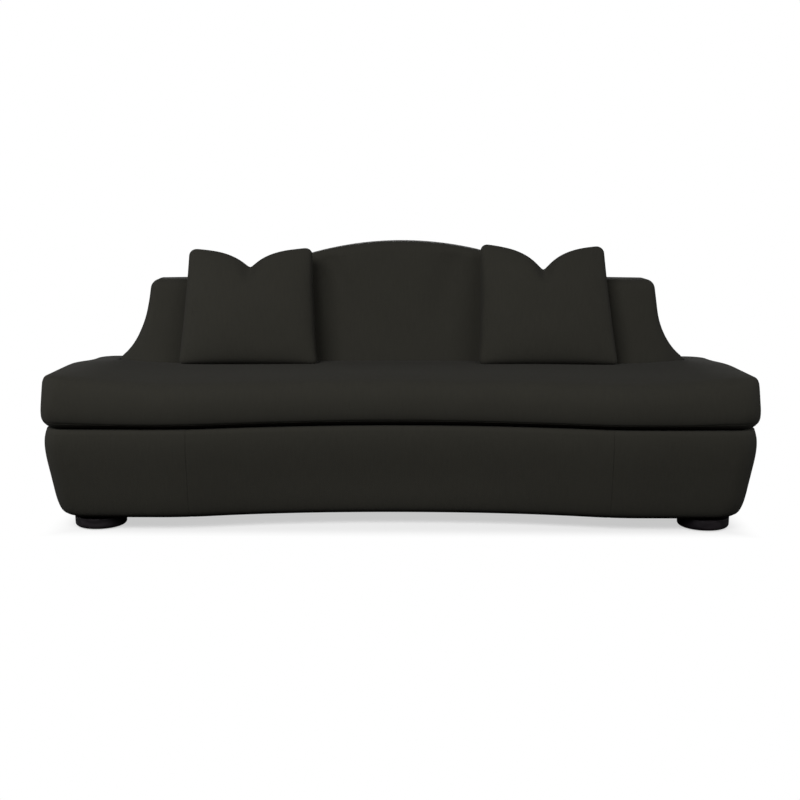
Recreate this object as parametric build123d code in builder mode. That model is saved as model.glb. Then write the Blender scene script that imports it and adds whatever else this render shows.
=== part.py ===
from build123d import *
import math
import os

# A 90 inch sofa with a bowed-in front, one long loose seat cushion, a tight
# camel back and two throw pillows, on four turned disc feet.
# Millimetres, +Z up, front towards -Y, origin on the floor under the middle.

# The whole sofa
overall_width = 2286
overall_depth = 965
overall_height = 908

# Plan of the seat and base, seen from above
front_dip = 84
dip_half_width = 780
dip_arc_share = 0.763
front_corner_radius = 80
rear_corner_radius = 90
rear_bow_radius = 3210

# Levels
foot_height = 39
base_height = 298
base_taper = 75
cushion_overhang = 10

# Cloth, padding and the gaps between them
cloth = 2
soft_gap = 0.3
fit_gap = 0.3
base_padding_thickness = 12
seam_half_width = 675
rear_seam_half_width = 900
cloth_turn_width = 46

# Base section from the bottom up: share of the height, share of the taper
base_profile_shares = (
    (0, 1),
    (0.05, 0.70),
    (0.16, 0.48),
    (0.28, 0.36),
    (0.5, 0.17),
    (0.72, 0.03),
    (0.84, 0),
    (0.94, 0.06),
    (1, 0.13),
)

# Seat cushion
lower_seam_height = 23
boxing_height = 111
crown_height = 17
crown_fall = 7
cushion_top_roll = 24
cushion_foot_roll = 12
fibre_wrap = 12
seat_zip_length = 1100
seat_zip_groove_height = 13
seat_zip_groove_depth = 9

# Back
shoulder_drop = 134
arch_radius = 1280
hump_half_width = 620
shoulder_half_width = 919
shoulder_corner_radius = 48
end_lean = 6
end_line_length = 80
flare_radius = 240
flare_turn = 46
tuck_radius = 42
front_roll_radius = 46
rear_roll_radius = 20
face_setback = 630
face_level = 490
face_sagitta = 60
face_half_width = 800
face_rake = 16
wing_radius = 230
wing_turn = 40
back_foam_thickness = 45
back_edge_foam = 30
back_board_thickness = 4

# Wood frame
rail_thickness = 25
deck_board_thickness = 18
deck_opening_inset = 150
deck_opening_half_width = 930
rear_beam_setback = 600
rear_beam_thickness = 38
stretcher_thickness = 25
stretcher_height = 90
stretcher_half_spacing = 440
former_thickness = 18
former_count = 9
end_former_count = 3
former_lift = 40
corner_block_size = 120
corner_block_height = 60
back_rib_thickness = 18
back_rib_places = (0, 290, 580, 860)
top_rail_height = 90
back_rail_thickness = 22
bottom_rail_height = 80
lightening_hole_inset = 60
lightening_hole_half_width = 820

# Seat springs
spring_wire = 3.8
spring_count = 15
spring_bend_radius = 12
spring_bend_count = 12
spring_bend_share = 0.45
spring_half_breadth = 24
tie_wire = 2.4
tie_wire_count = 2
clip_length = 26
clip_width = 16
clip_plate = 1.6
felt_thickness = 2
deck_pad_thickness = 20

# Back webbing
strap_height = 50
strap_thickness = 1.6
strap_count = 4
strap_half_width = 868

# Feet
foot_radius = 85
foot_rim_radius = 78
foot_neck_radius = 74
foot_neck_height = 7
foot_setback = 162
foot_half_spacing = 978
foot_rear_setback = 652
foot_rear_half_spacing = 925
foot_boss_radius = 30
glide_radius = 30
glide_thickness = 3
bolt_radius = 4
bolt_length = 70
bolt_clearance = 0.2
dust_cover_thickness = 0.8
dust_cover_lap = 24

# Throw pillows
pillow_width = 474
pillow_height = 440
pillow_thickness = 150
pillow_lean = 23
pillow_standoff = 112
pillow_side_draw = 13
pillow_foot_draw = 9
chop_depth = 66
pillow_zip_length = 280
pillow_zip_groove_width = 8
pillow_zip_groove_depth = 12
left_pillow_centre = -523
right_pillow_centre = 516

# Pillow sections from the middle outwards: share of the half width, of the
# height of the top seam and of the thickness
pillow_section_shares = (
    (0, 1 - chop_depth / pillow_height, 0.84),
    (0.2, 0.9, 0.98),
    (0.42, 0.965, 1),
    (0.66, 1, 0.86),
    (0.84, 0.998, 0.52),
    (0.94, 0.99, 0.22),
    (1, 0.985, 0.067),
)

# Zips
zip_tape = 1.4
zip_slider_length = 11
zip_slider_thickness = 2.4
zip_pull_length = 16
zip_pull_thickness = 1.2

# One overrun serves every cut
overrun = 40

# Places that follow from the sizes above
front_line = -overall_depth / 2
rear_line = overall_depth / 2 + cushion_overhang
base_bottom = foot_height
base_top = base_bottom + base_height
base_layers = cloth + base_padding_thickness + 2 * soft_gap
frame_bottom = base_bottom + cloth
deck_cloth_bottom = base_top - cloth
deck_pad_top = deck_cloth_bottom - soft_gap
deck_pad_bottom = deck_pad_top - deck_pad_thickness
felt_bottom = deck_pad_bottom - soft_gap - felt_thickness
tie_level = felt_bottom - fit_gap - tie_wire / 2
spring_level = tie_level - tie_wire / 2 - fit_gap - spring_wire / 2
deck_board_top = spring_level - spring_wire / 2 - clip_plate - fit_gap
deck_board_bottom = deck_board_top - deck_board_thickness
rail_inset = cushion_overhang + base_taper + base_layers + 1.5 * fit_gap
cushion_bottom = base_top + soft_gap
lower_seam_level = cushion_bottom + lower_seam_height
upper_seam_level = lower_seam_level + boxing_height
cushion_top = upper_seam_level + crown_height
back_bottom = deck_board_top
shoulder_level = overall_height - shoulder_drop
back_rear_inset = cushion_overhang + base_layers + base_taper * base_profile_shares[-1][1] + cloth
rear_beam_line = front_line + rear_beam_setback
back_step_line = rear_beam_line + rear_beam_thickness
under_inset = cushion_overhang + base_taper + cloth_turn_width
over_inset = cushion_overhang + cloth_turn_width
deck_inset = cushion_overhang + base_layers + base_taper * base_profile_shares[-1][1]
front_foot_y = front_line + foot_setback
rear_foot_y = front_line + foot_rear_setback
foot_places = {
    "front_left": (-foot_half_spacing, front_foot_y),
    "front_right": (foot_half_spacing, front_foot_y),
    "rear_left": (-foot_rear_half_spacing, rear_foot_y),
    "rear_right": (foot_rear_half_spacing, rear_foot_y),
}
all_feet = list(foot_places.values())

os.makedirs("parts", exist_ok=True)


def turned(centre, radius, angle):
    """The point of a circle at an angle from +X, in degrees."""
    return (
        centre[0] + radius * math.cos(math.radians(angle)),
        centre[1] + radius * math.sin(math.radians(angle)),
    )


def arc_about(centre, radius, start, end):
    """An arc about a centre; gives its two ends."""
    first, last = turned(centre, radius, start), turned(centre, radius, end)
    ThreePointArc(first, turned(centre, radius, (start + end) / 2), last)
    return first, last


# Seat and base plan


def front_run(inset, half_length):
    """The bowed front, left to right, as a run of lines and tangent arcs."""
    turn = 2 * math.degrees(math.atan2(front_dip, dip_half_width))
    both_radii = dip_half_width / math.sin(math.radians(turn))
    dip_radius = dip_arc_share * both_radii
    turn_radius = both_radii - dip_radius
    line = front_line + inset
    centre = front_line + turn_radius
    Line((-half_length, line), (-dip_half_width, line))
    arc_about((-dip_half_width, centre), turn_radius - inset, 270, 270 + turn)
    dip_centre = front_line + front_dip - dip_radius
    arc_about((0, dip_centre), dip_radius + inset, 90 + turn, 90 - turn)
    arc_about((dip_half_width, centre), turn_radius - inset, 270 - turn, 270)
    Line((dip_half_width, line), (half_length, line))
    return line


def front_depth(inset, x):
    """How far back the bowed front lies at a place along it."""
    turn = 2 * math.atan2(front_dip, dip_half_width)
    both_radii = dip_half_width / math.sin(turn)
    dip_radius = dip_arc_share * both_radii
    turn_radius = both_radii - dip_radius
    if abs(x) > dip_half_width:
        return front_line + inset
    if abs(x) > (dip_radius + inset) * math.sin(turn):
        reach = turn_radius - inset
        return front_line + turn_radius - math.sqrt(reach**2 - (dip_half_width - abs(x)) ** 2)
    reach = dip_radius + inset
    return front_line + front_dip - dip_radius + math.sqrt(reach**2 - x**2)


def plan_edges(inset):
    """The whole outline, moved in by an inset on every side."""
    side = overall_width / 2 - inset
    corner = front_corner_radius
    front = front_run(inset, side - corner)
    bow = rear_bow_radius - inset
    bow_centre = rear_line - rear_bow_radius
    rear_x = side - rear_corner_radius
    rear_y = bow_centre + math.sqrt((bow - rear_corner_radius) ** 2 - rear_x**2)
    meet = math.degrees(math.atan2(rear_y - bow_centre, rear_x))
    arc_about((side - corner, front + corner), corner, 270, 360)
    Line((side, front + corner), (side, rear_y))
    arc_about((rear_x, rear_y), rear_corner_radius, 0, meet)
    arc_about((0, bow_centre), bow, meet, 180 - meet)
    arc_about((-rear_x, rear_y), rear_corner_radius, 180 - meet, 180)
    Line((-side, rear_y), (-side, front + corner))
    arc_about((-side + corner, front + corner), corner, 180, 270)


def plan_prism(inset, bottom, top):
    """The outline as an upright block between two levels."""
    with BuildPart() as prism:
        with BuildSketch(Plane.XY.offset(bottom)):
            with BuildLine():
                plan_edges(inset)
            make_face()
        extrude(amount=top - bottom)
    return prism.part


def lofted_plan(sections):
    """A smooth solid through outlines, each given as a level and an inset."""
    with BuildPart() as form:
        for level, inset in sections:
            with BuildSketch(Plane.XY.offset(level)):
                with BuildLine():
                    plan_edges(inset)
                make_face()
        loft()
    return form.part


def block(x_low, x_high, y_low, y_high, z_low, z_high):
    """A plain box between six sides."""
    centre = ((x_low + x_high) / 2, (y_low + y_high) / 2, (z_low + z_high) / 2)
    size = (x_high - x_low, y_high - y_low, z_high - z_low)
    return Pos(*centre) * Box(*size, mode=Mode.PRIVATE)


def save(part, label):
    """Writes one finished piece."""
    part.label = label
    export_step(part, f"parts/{label}.step")


# Base


def base_form(margin):
    """The tapered base, moved in by a margin on its sides and underneath."""
    sections = [
        (base_bottom + high * base_height, cushion_overhang + far * base_taper + margin)
        for high, far in base_profile_shares
    ]
    with BuildPart() as form:
        add(lofted_plan(sections))
        if margin:
            split(bisect_by=Plane.XY.offset(base_bottom + margin), keep=Keep.TOP)
    return form.part


# Back


def contour_half(inset):
    """The right half of the camel outline, from the hump to the bottom."""
    turn = 2 * math.degrees(math.atan2(shoulder_drop, hump_half_width))
    both_radii = hump_half_width / math.sin(math.radians(turn))
    sweep_radius = both_radii - arch_radius
    arch_centre = (0, overall_height - arch_radius)
    arc_about(arch_centre, arch_radius - inset, 90, 90 - turn)
    sweep_centre = (hump_half_width, shoulder_level + sweep_radius)
    _, level_end = arc_about(sweep_centre, sweep_radius + inset, 270 - turn, 270)
    corner_centre = (shoulder_half_width - shoulder_corner_radius, shoulder_level - shoulder_corner_radius)
    corner = shoulder_corner_radius - inset
    Line(level_end, (corner_centre[0], shoulder_level - inset))
    _, line_start = arc_about(corner_centre, corner, 90, end_lean)
    line_end = (
        line_start[0] + end_line_length * math.sin(math.radians(end_lean)),
        line_start[1] - end_line_length * math.cos(math.radians(end_lean)),
    )
    Line(line_start, line_end)
    flare_centre = turned(line_end, flare_radius + inset, end_lean)
    flare_end_angle = end_lean + flare_turn
    _, flare_end = arc_about(flare_centre, flare_radius + inset, 180 + end_lean, 180 + flare_end_angle)
    tuck = tuck_radius - inset
    tuck_centre = turned(flare_end, tuck, 180 + flare_end_angle)
    _, tuck_end = arc_about(tuck_centre, tuck, flare_end_angle, 0)
    Line(tuck_end, (tuck_end[0], back_bottom))
    Line((tuck_end[0], back_bottom), (0, back_bottom))


def face_shift(level):
    """How far the raked face lies behind its place at the seat's level."""
    return (level - face_level) * math.tan(math.radians(face_rake))


def face_run(inset):
    """The hollow face and its wings that turn back, from end to end."""
    face_radius = (face_half_width**2 + face_sagitta**2) / (2 * face_sagitta)
    bend = math.degrees(math.asin(face_half_width / face_radius))
    middle = front_line + face_setback + face_shift(back_bottom - overrun) + inset
    face_centre = (0, middle - face_radius)
    left, right = arc_about(face_centre, face_radius, 90 + bend, 90 - bend)
    wing = wing_radius - inset
    wing_centre = turned(right, wing, 90 - bend)
    _, wing_end = arc_about(wing_centre, wing, 270 - bend, 270 + wing_turn)
    arc_about((-wing_centre[0], wing_centre[1]), wing, 270 + bend, 270 - wing_turn)
    far_x = overall_width
    far_y = wing_end[1] + (far_x - wing_end[0]) * math.tan(math.radians(wing_turn))
    Line(wing_end, (far_x, far_y))
    Line((-wing_end[0], wing_end[1]), (-far_x, far_y))
    Line((far_x, far_y), (far_x, -overall_width))
    Line((-far_x, far_y), (-far_x, -overall_width))
    Line((far_x, -overall_width), (-far_x, -overall_width))


def rolled_edges(part, faces):
    """The edges that the chosen faces don't share, above the seat's inside."""
    edges = [edge for face in faces for edge in face.edges()]
    low = face_level - 2 * tuck_radius
    return [
        edge
        for edge in edges
        if sum(1 for other in edges if other.is_same(edge)) == 1 and edge.center().Z > low
    ]


def back_form(edge_inset, face_inset, rear_inset, rolled):
    """The back's body, moved in by its own inset at edges, face and rear."""
    with BuildPart() as body:
        with BuildSketch(Plane.XZ):
            with BuildLine():
                contour_half(edge_inset)
                mirror(about=Plane.YZ)
            make_face()
        extrude(amount=overall_depth, both=True)
        add(plan_prism(back_rear_inset + rear_inset, back_bottom, overall_height), mode=Mode.INTERSECT)
        with BuildSketch(Plane.XY.offset(back_bottom - overrun)):
            with BuildLine():
                face_run(face_inset)
            make_face()
        lean = math.radians(face_rake)
        reach = (overall_height - back_bottom + 2 * overrun) / math.cos(lean)
        extrude(amount=reach, dir=(0, math.sin(lean), math.cos(lean)), mode=Mode.SUBTRACT)
        step = back_step_line + face_inset
        under = base_top + edge_inset
        add(
            block(-overall_width, overall_width, -overall_depth, step, back_bottom - overrun, under),
            mode=Mode.SUBTRACT,
        )
        if rolled:
            raked = body.faces().filter_by(lambda face: abs(face.normal_at(face.center()).Z) > 0.05)
            raked = raked.filter_by(lambda face: face.normal_at(face.center()).Y < -0.4)
            fillet(rolled_edges(body.part, raked), front_roll_radius - edge_inset)
            rear = body.faces().sort_by(Axis.Y)[-1]
            fillet(rolled_edges(body.part, [rear]), rear_roll_radius - edge_inset)
    return body.part


def back_skin(margin):
    """The rolled back, moved in all round by a margin, or out by a negative one."""
    return back_form(margin, margin, margin, rolled=True)


back_room = back_skin(-soft_gap)

# Base covers

with BuildPart() as base_hollow:
    add(base_form(cloth))
    split(bisect_by=Plane.XY.offset(deck_cloth_bottom), keep=Keep.BOTTOM)

with BuildPart() as base_cloth:
    add(base_form(0))
    add(base_hollow.part, mode=Mode.SUBTRACT)
    add(plan_prism(under_inset, base_bottom - overrun, frame_bottom + overrun), mode=Mode.SUBTRACT)
    add(plan_prism(over_inset, deck_cloth_bottom - overrun, base_top + overrun), mode=Mode.SUBTRACT)
    add(back_room, mode=Mode.SUBTRACT)
    with Locations(*[(x, y, base_bottom) for x, y in all_feet]):
        Cylinder(foot_boss_radius + fit_gap, overrun, mode=Mode.SUBTRACT)

front_zone = block(-seam_half_width, seam_half_width, -overall_depth, 0, 0, overall_height)
rear_zone = block(-rear_seam_half_width, rear_seam_half_width, 0, overall_depth, 0, overall_height)
left_zone = block(-overall_width, 0, -overall_depth, overall_depth, 0, overall_height)
right_zone = block(0, overall_width, -overall_depth, overall_depth, 0, overall_height)

with BuildPart() as base_cover_front:
    add(base_cloth.part)
    add(front_zone, mode=Mode.INTERSECT)
save(base_cover_front.part, "base_cover_front")

with BuildPart() as base_cover_rear:
    add(base_cloth.part)
    add(rear_zone, mode=Mode.INTERSECT)
save(base_cover_rear.part, "base_cover_rear")

for end_name, end_zone in (("left", left_zone), ("right", right_zone)):
    with BuildPart() as base_cover_end:
        add(base_cloth.part)
        add(end_zone, mode=Mode.INTERSECT)
        add(front_zone, mode=Mode.SUBTRACT)
        add(rear_zone, mode=Mode.SUBTRACT)
    save(base_cover_end.part, f"base_cover_{end_name}")

# Padding and deck over the base

padding_margin = cloth + soft_gap
with BuildPart() as base_padding:
    add(base_form(padding_margin))
    add(base_form(padding_margin + base_padding_thickness), mode=Mode.SUBTRACT)
    add(plan_prism(rail_inset - fit_gap, base_bottom, deck_board_bottom), mode=Mode.SUBTRACT)
    split(bisect_by=Plane.XY.offset(deck_pad_top), keep=Keep.BOTTOM)
save(base_padding.part, "base_padding")

with BuildPart() as deck_cloth:
    add(plan_prism(over_inset + fit_gap, deck_cloth_bottom, base_top))
    add(back_room, mode=Mode.SUBTRACT)
save(deck_cloth.part, "deck_cloth")

with BuildPart() as deck_pad:
    add(plan_prism(deck_inset, deck_pad_bottom, deck_pad_top))
    add(back_room, mode=Mode.SUBTRACT)
save(deck_pad.part, "deck_pad")

with BuildPart() as deck_felt:
    add(plan_prism(deck_inset, felt_bottom, felt_bottom + felt_thickness))
    add(back_room, mode=Mode.SUBTRACT)
save(deck_felt.part, "deck_felt")

# Base frame

with BuildPart() as deck_board:
    add(base_form(base_layers))
    add(
        plan_prism(cushion_overhang, deck_board_bottom, deck_board_top),
        mode=Mode.INTERSECT,
    )
    front_opening = block(
        -deck_opening_half_width,
        deck_opening_half_width,
        -overall_depth,
        rear_beam_line,
        base_bottom,
        base_top,
    )
    rear_opening = block(
        -lightening_hole_half_width,
        lightening_hole_half_width,
        rear_beam_line + rear_beam_thickness,
        overall_depth,
        base_bottom,
        base_top,
    )
    opening = plan_prism(deck_opening_inset, base_bottom, base_top) & front_opening
    add(opening, mode=Mode.SUBTRACT)
    hole_inset = rail_inset + rail_thickness + lightening_hole_inset
    add(plan_prism(hole_inset, base_bottom, base_top) & rear_opening, mode=Mode.SUBTRACT)
save(deck_board.part, "deck_board")

rail_side = overall_width / 2 - rail_inset
front_rail_half = rail_side - front_corner_radius
rear_rail_half = rail_side - rear_corner_radius
inner_inset = rail_inset + rail_thickness

with BuildPart() as rail_ring:
    add(plan_prism(rail_inset, frame_bottom, deck_board_bottom))
    add(plan_prism(inner_inset, frame_bottom, deck_board_bottom), mode=Mode.SUBTRACT)

front_rail_zone = block(-front_rail_half, front_rail_half, -overall_depth, 0, 0, base_top)
rear_rail_zone = block(-rear_rail_half, rear_rail_half, 0, overall_depth, 0, base_top)

with BuildPart() as front_rail:
    add(rail_ring.part)
    add(front_rail_zone, mode=Mode.INTERSECT)
save(front_rail.part, "front_rail")

with BuildPart() as rear_rail:
    add(rail_ring.part)
    add(rear_rail_zone, mode=Mode.INTERSECT)
save(rear_rail.part, "rear_rail")

for end_name, end_zone in (("left", left_zone), ("right", right_zone)):
    with BuildPart() as end_rail:
        add(rail_ring.part)
        add(end_zone, mode=Mode.INTERSECT)
        add(front_rail_zone, mode=Mode.SUBTRACT)
        add(rear_rail_zone, mode=Mode.SUBTRACT)
    save(end_rail.part, f"{end_name}_end_rail")

inside_rails = plan_prism(inner_inset, frame_bottom, deck_board_bottom)
stretcher_top = frame_bottom + stretcher_height

with BuildPart() as cross_stretchers:
    for place in (-stretcher_half_spacing, 0, stretcher_half_spacing):
        half = stretcher_thickness / 2
        board = block(
            place - half, place + half, -overall_depth, overall_depth, frame_bottom, stretcher_top
        )
        add(board & inside_rails)
save(cross_stretchers.part, "cross_stretchers")

with BuildPart() as rear_beam:
    beam = block(
        -overall_width,
        overall_width,
        rear_beam_line,
        rear_beam_line + rear_beam_thickness,
        stretcher_top,
        deck_board_bottom,
    )
    add(beam & inside_rails)
save(rear_beam.part, "rear_beam")

# Shaped ribs that carry the taper outside the rails

former_bottom = frame_bottom + former_lift
with BuildPart() as base_formers:
    add(base_form(base_layers))
    add(plan_prism(rail_inset - fit_gap, base_bottom, base_top), mode=Mode.SUBTRACT)
    slices = []
    for step in range(former_count):
        place = (2 * step / (former_count - 1) - 1) * (rear_rail_half - former_thickness)
        slices.append(
            block(
                place - former_thickness / 2,
                place + former_thickness / 2,
                -overall_depth,
                overall_depth,
                former_bottom,
                deck_board_bottom,
            )
        )
    end_front = front_line + rail_inset + front_corner_radius
    end_reach = rear_beam_line - end_front
    for step in range(end_former_count):
        place = end_front + step * end_reach / (end_former_count - 1)
        for end in (-1, 1):
            inner, outer = sorted((end * (rail_side - rail_thickness), end * overall_width))
            slices.append(
                block(
                    inner,
                    outer,
                    place - former_thickness / 2,
                    place + former_thickness / 2,
                    former_bottom,
                    deck_board_bottom,
                )
            )
    add(slices, mode=Mode.INTERSECT)
save(base_formers.part, "base_formers")

# Feet, their blocks, bolts and glides

bolt_bottom = base_bottom + cloth + corner_block_height - bolt_length - foot_neck_height
bolt_hole_radius = bolt_radius + bolt_clearance

for foot_name, foot_place in foot_places.items():
    with BuildPart() as foot:
        with BuildSketch(Plane.XZ.offset(-foot_place[1])) as profile:
            with BuildLine():
                neck_level = base_bottom - foot_neck_height
                side_middle = (glide_thickness + neck_level) / 2
                x = foot_place[0]
                Line((x, glide_thickness), (x + foot_rim_radius, glide_thickness))
                ThreePointArc(
                    (x + foot_rim_radius, glide_thickness),
                    (x + foot_radius, side_middle),
                    (x + foot_rim_radius, neck_level),
                )
                Polyline(
                    (x + foot_rim_radius, neck_level),
                    (x + foot_neck_radius, neck_level),
                    (x + foot_neck_radius, base_bottom),
                    (x + foot_boss_radius, base_bottom),
                    (x + foot_boss_radius, frame_bottom),
                    (x, frame_bottom),
                    (x, glide_thickness),
                )
            make_face()
        revolve(axis=Axis((foot_place[0], foot_place[1], 0), (0, 0, 1)))
        with Locations((foot_place[0], foot_place[1], frame_bottom)):
            depth = frame_bottom - bolt_bottom + bolt_clearance
            Cylinder(
                bolt_hole_radius,
                depth,
                align=(Align.CENTER, Align.CENTER, Align.MAX),
                mode=Mode.SUBTRACT,
            )
    save(foot.part, f"foot_{foot_name}")

with BuildPart() as corner_blocks:
    for place in all_feet:
        half = corner_block_size / 2
        cube = block(
            place[0] - half,
            place[0] + half,
            place[1] - half,
            place[1] + half,
            frame_bottom,
            frame_bottom + corner_block_height,
        )
        add(cube & inside_rails)
    with Locations(*[(x, y, frame_bottom) for x, y in all_feet]):
        Cylinder(
            bolt_hole_radius,
            bolt_length,
            align=(Align.CENTER, Align.CENTER, Align.MIN),
            mode=Mode.SUBTRACT,
        )
save(corner_blocks.part, "corner_blocks")

with BuildPart() as foot_bolts:
    with Locations(*[(x, y, bolt_bottom) for x, y in all_feet]):
        Cylinder(bolt_radius, bolt_length, align=(Align.CENTER, Align.CENTER, Align.MIN))
save(foot_bolts.part, "foot_bolts")

with BuildPart() as foot_glides:
    with Locations(*[(x, y, 0) for x, y in all_feet]):
        Cylinder(glide_radius, glide_thickness, align=(Align.CENTER, Align.CENTER, Align.MIN))
save(foot_glides.part, "foot_glides")

with BuildPart() as dust_cover:
    lap_inset = under_inset - dust_cover_lap
    add(plan_prism(lap_inset, base_bottom - dust_cover_thickness, base_bottom))
    with Locations(*[(x, y, base_bottom - dust_cover_thickness) for x, y in all_feet]):
        Cylinder(
            foot_neck_radius + soft_gap,
            dust_cover_thickness,
            align=(Align.CENTER, Align.CENTER, Align.MIN),
            mode=Mode.SUBTRACT,
        )
save(dust_cover.part, "dust_cover")

# Seat springs, their clips and tie wires

spring_rear = rear_beam_line + spring_bend_radius
spring_reach = deck_opening_half_width - 2 * spring_half_breadth
spring_places = [
    (2 * step / (spring_count - 1) - 1) * spring_reach for step in range(spring_count)
]
spring_fronts = [front_depth(deck_opening_inset, x) - spring_bend_radius for x in spring_places]

with BuildPart() as seat_springs:
    for x, front in zip(spring_places, spring_fronts):
        pitch = (spring_rear - front) / spring_bend_count
        points = []
        for bend in range(spring_bend_count + 1):
            side = spring_half_breadth if bend % 2 else -spring_half_breadth
            y = front + bend * pitch
            points += [(x + side, y, spring_level), (x - side, y, spring_level)]
        with BuildLine() as wire:
            FilletPolyline(*points, radius=min(spring_bend_radius, spring_bend_share * pitch))
        start = Plane(origin=wire.line @ 0, z_dir=wire.line % 0)
        with BuildSketch(start):
            Circle(spring_wire / 2)
        sweep(path=wire.line)
save(seat_springs.part, "seat_springs")

with BuildPart() as spring_clips:
    slot_height = spring_wire + 2 * fit_gap
    clip_height = slot_height + 2 * clip_plate
    for x, front in zip(spring_places, spring_fronts):
        for wire_y, inward in ((front, 1), (spring_rear, -1)):
            clip_y = wire_y - inward * (clip_length / 2 - slot_height)
            with Locations((x, clip_y, deck_board_top)):
                Box(
                    clip_width,
                    clip_length,
                    clip_height,
                    align=(Align.CENTER, Align.CENTER, Align.MIN),
                )
            with Locations((x, wire_y + inward * slot_height, spring_level)):
                Box(clip_width, 3 * slot_height, slot_height, mode=Mode.SUBTRACT)
save(spring_clips.part, "spring_clips")

with BuildPart() as spring_tie_wires:
    for step in range(tie_wire_count):
        share = (step + 1) / (tie_wire_count + 1)
        y = spring_fronts[spring_count // 2] + share * (spring_rear - spring_fronts[spring_count // 2])
        reach = deck_opening_half_width + clip_length
        with BuildSketch(Plane.YZ.offset(-reach)):
            with Locations((y, tie_level)):
                Circle(tie_wire / 2)
        extrude(amount=2 * reach)
save(spring_tie_wires.part, "spring_tie_wires")

# Back cover and filling

with BuildPart() as back_cloth:
    add(back_skin(0))
    add(back_skin(cloth), mode=Mode.SUBTRACT)

outside_split = plan_prism(back_rear_inset + rear_roll_radius + cloth, 0, 2 * overall_height)
with BuildPart() as back_cover_inside:
    add(back_cloth.part)
    add(outside_split, mode=Mode.INTERSECT)
save(back_cover_inside.part, "back_cover_inside")

with BuildPart() as back_cover_outside:
    add(back_cloth.part)
    add(outside_split, mode=Mode.SUBTRACT)
save(back_cover_outside.part, "back_cover_outside")

foam_margin = cloth + soft_gap
frame_edge = foam_margin + back_edge_foam
frame_face = foam_margin + back_foam_thickness
foam_split = back_form(-overrun, frame_face, -overrun, rolled=False)
with BuildPart() as back_foam:
    add(back_skin(foam_margin))
    add(foam_split, mode=Mode.SUBTRACT)
save(back_foam.part, "back_foam")

with BuildPart() as back_roll_foam:
    add(back_skin(foam_margin))
    add(foam_split, mode=Mode.INTERSECT)
    add(back_form(frame_edge, foam_margin, -overrun, rolled=False), mode=Mode.SUBTRACT)
save(back_roll_foam.part, "back_roll_foam")

with BuildPart() as back_outside_board:
    add(back_form(frame_edge + fit_gap, frame_face + fit_gap, foam_margin, rolled=False))
    board_inset = back_rear_inset + foam_margin + back_board_thickness
    add(plan_prism(board_inset, 0, 2 * overall_height), mode=Mode.SUBTRACT)
save(back_outside_board.part, "back_outside_board")

# Back webbing, ribs and rails

strap_face = frame_face + soft_gap
rib_face = strap_face + strap_thickness + soft_gap
strap_bottom = back_bottom + bottom_rail_height
strap_rise = (shoulder_level - top_rail_height - strap_bottom) / (strap_count - 1)
with BuildPart() as back_webbing:
    add(back_form(frame_edge + fit_gap, strap_face, foam_margin, rolled=False))
    add(
        back_form(-overrun, strap_face + strap_thickness, -overrun, rolled=False),
        mode=Mode.SUBTRACT,
    )
    straps = [
        block(
            -strap_half_width,
            strap_half_width,
            -overall_depth,
            overall_depth,
            strap_bottom + step * strap_rise - strap_height / 2,
            strap_bottom + step * strap_rise + strap_height / 2,
        )
        for step in range(strap_count)
    ]
    add(straps, mode=Mode.INTERSECT)
save(back_webbing.part, "back_webbing")

rear_frame_inset = back_rear_inset + foam_margin + back_board_thickness + fit_gap
widest_rib = back_rib_places[-1] + back_rib_thickness / 2
bow_reach = rear_bow_radius - rear_frame_inset
back_rail_rear = rear_line - rear_bow_radius + math.sqrt(bow_reach**2 - widest_rib**2)
back_rail_front = back_rail_rear - back_rail_thickness
frame_space = back_form(
    frame_edge + fit_gap, rib_face, foam_margin + back_board_thickness + fit_gap, rolled=False
)
top_rail_zone = block(
    -widest_rib,
    widest_rib,
    back_rail_front,
    back_rail_rear,
    shoulder_level - top_rail_height,
    overall_height,
)
bottom_rail_zone = block(
    -widest_rib,
    widest_rib,
    back_rail_front,
    back_rail_rear,
    back_bottom,
    back_bottom + bottom_rail_height,
)

with BuildPart() as back_top_rail:
    add(frame_space)
    add(top_rail_zone, mode=Mode.INTERSECT)
save(back_top_rail.part, "back_top_rail")

with BuildPart() as back_bottom_rail:
    add(bottom_rail_zone)
save(back_bottom_rail.part, "back_bottom_rail")

rib_names = ("centre", "inner", "middle", "outer")
for rib_name, rib_place in zip(rib_names, back_rib_places):
    places = {f"back_rib_{rib_name}": rib_place}
    if rib_place:
        places = {
            f"back_rib_{rib_name}_left": -rib_place,
            f"back_rib_{rib_name}_right": rib_place,
        }
    for node_name, place in places.items():
        with BuildPart() as back_rib:
            add(frame_space)
            half = back_rib_thickness / 2
            add(
                block(place - half, place + half, -overall_depth, overall_depth, 0, overall_height),
                mode=Mode.INTERSECT,
            )
            add([top_rail_zone, bottom_rail_zone], mode=Mode.SUBTRACT)
        save(back_rib.part, node_name)

# Seat cushion


def crown_room(margin):
    """All that lies under the crown, which falls from the middle to both ends."""
    top = cushion_top - margin
    end = upper_seam_level + crown_height - crown_fall - margin
    half = overall_width / 2 + overrun
    low = cushion_bottom - 3 * overrun
    with BuildPart() as room:
        with BuildSketch(Plane.XZ):
            with BuildLine():
                ThreePointArc((-half, end), (0, top), (half, end))
                Polyline((half, end), (half, low), (-half, low), (-half, end))
            make_face()
        extrude(amount=overall_depth, both=True)
    return room.part


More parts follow.
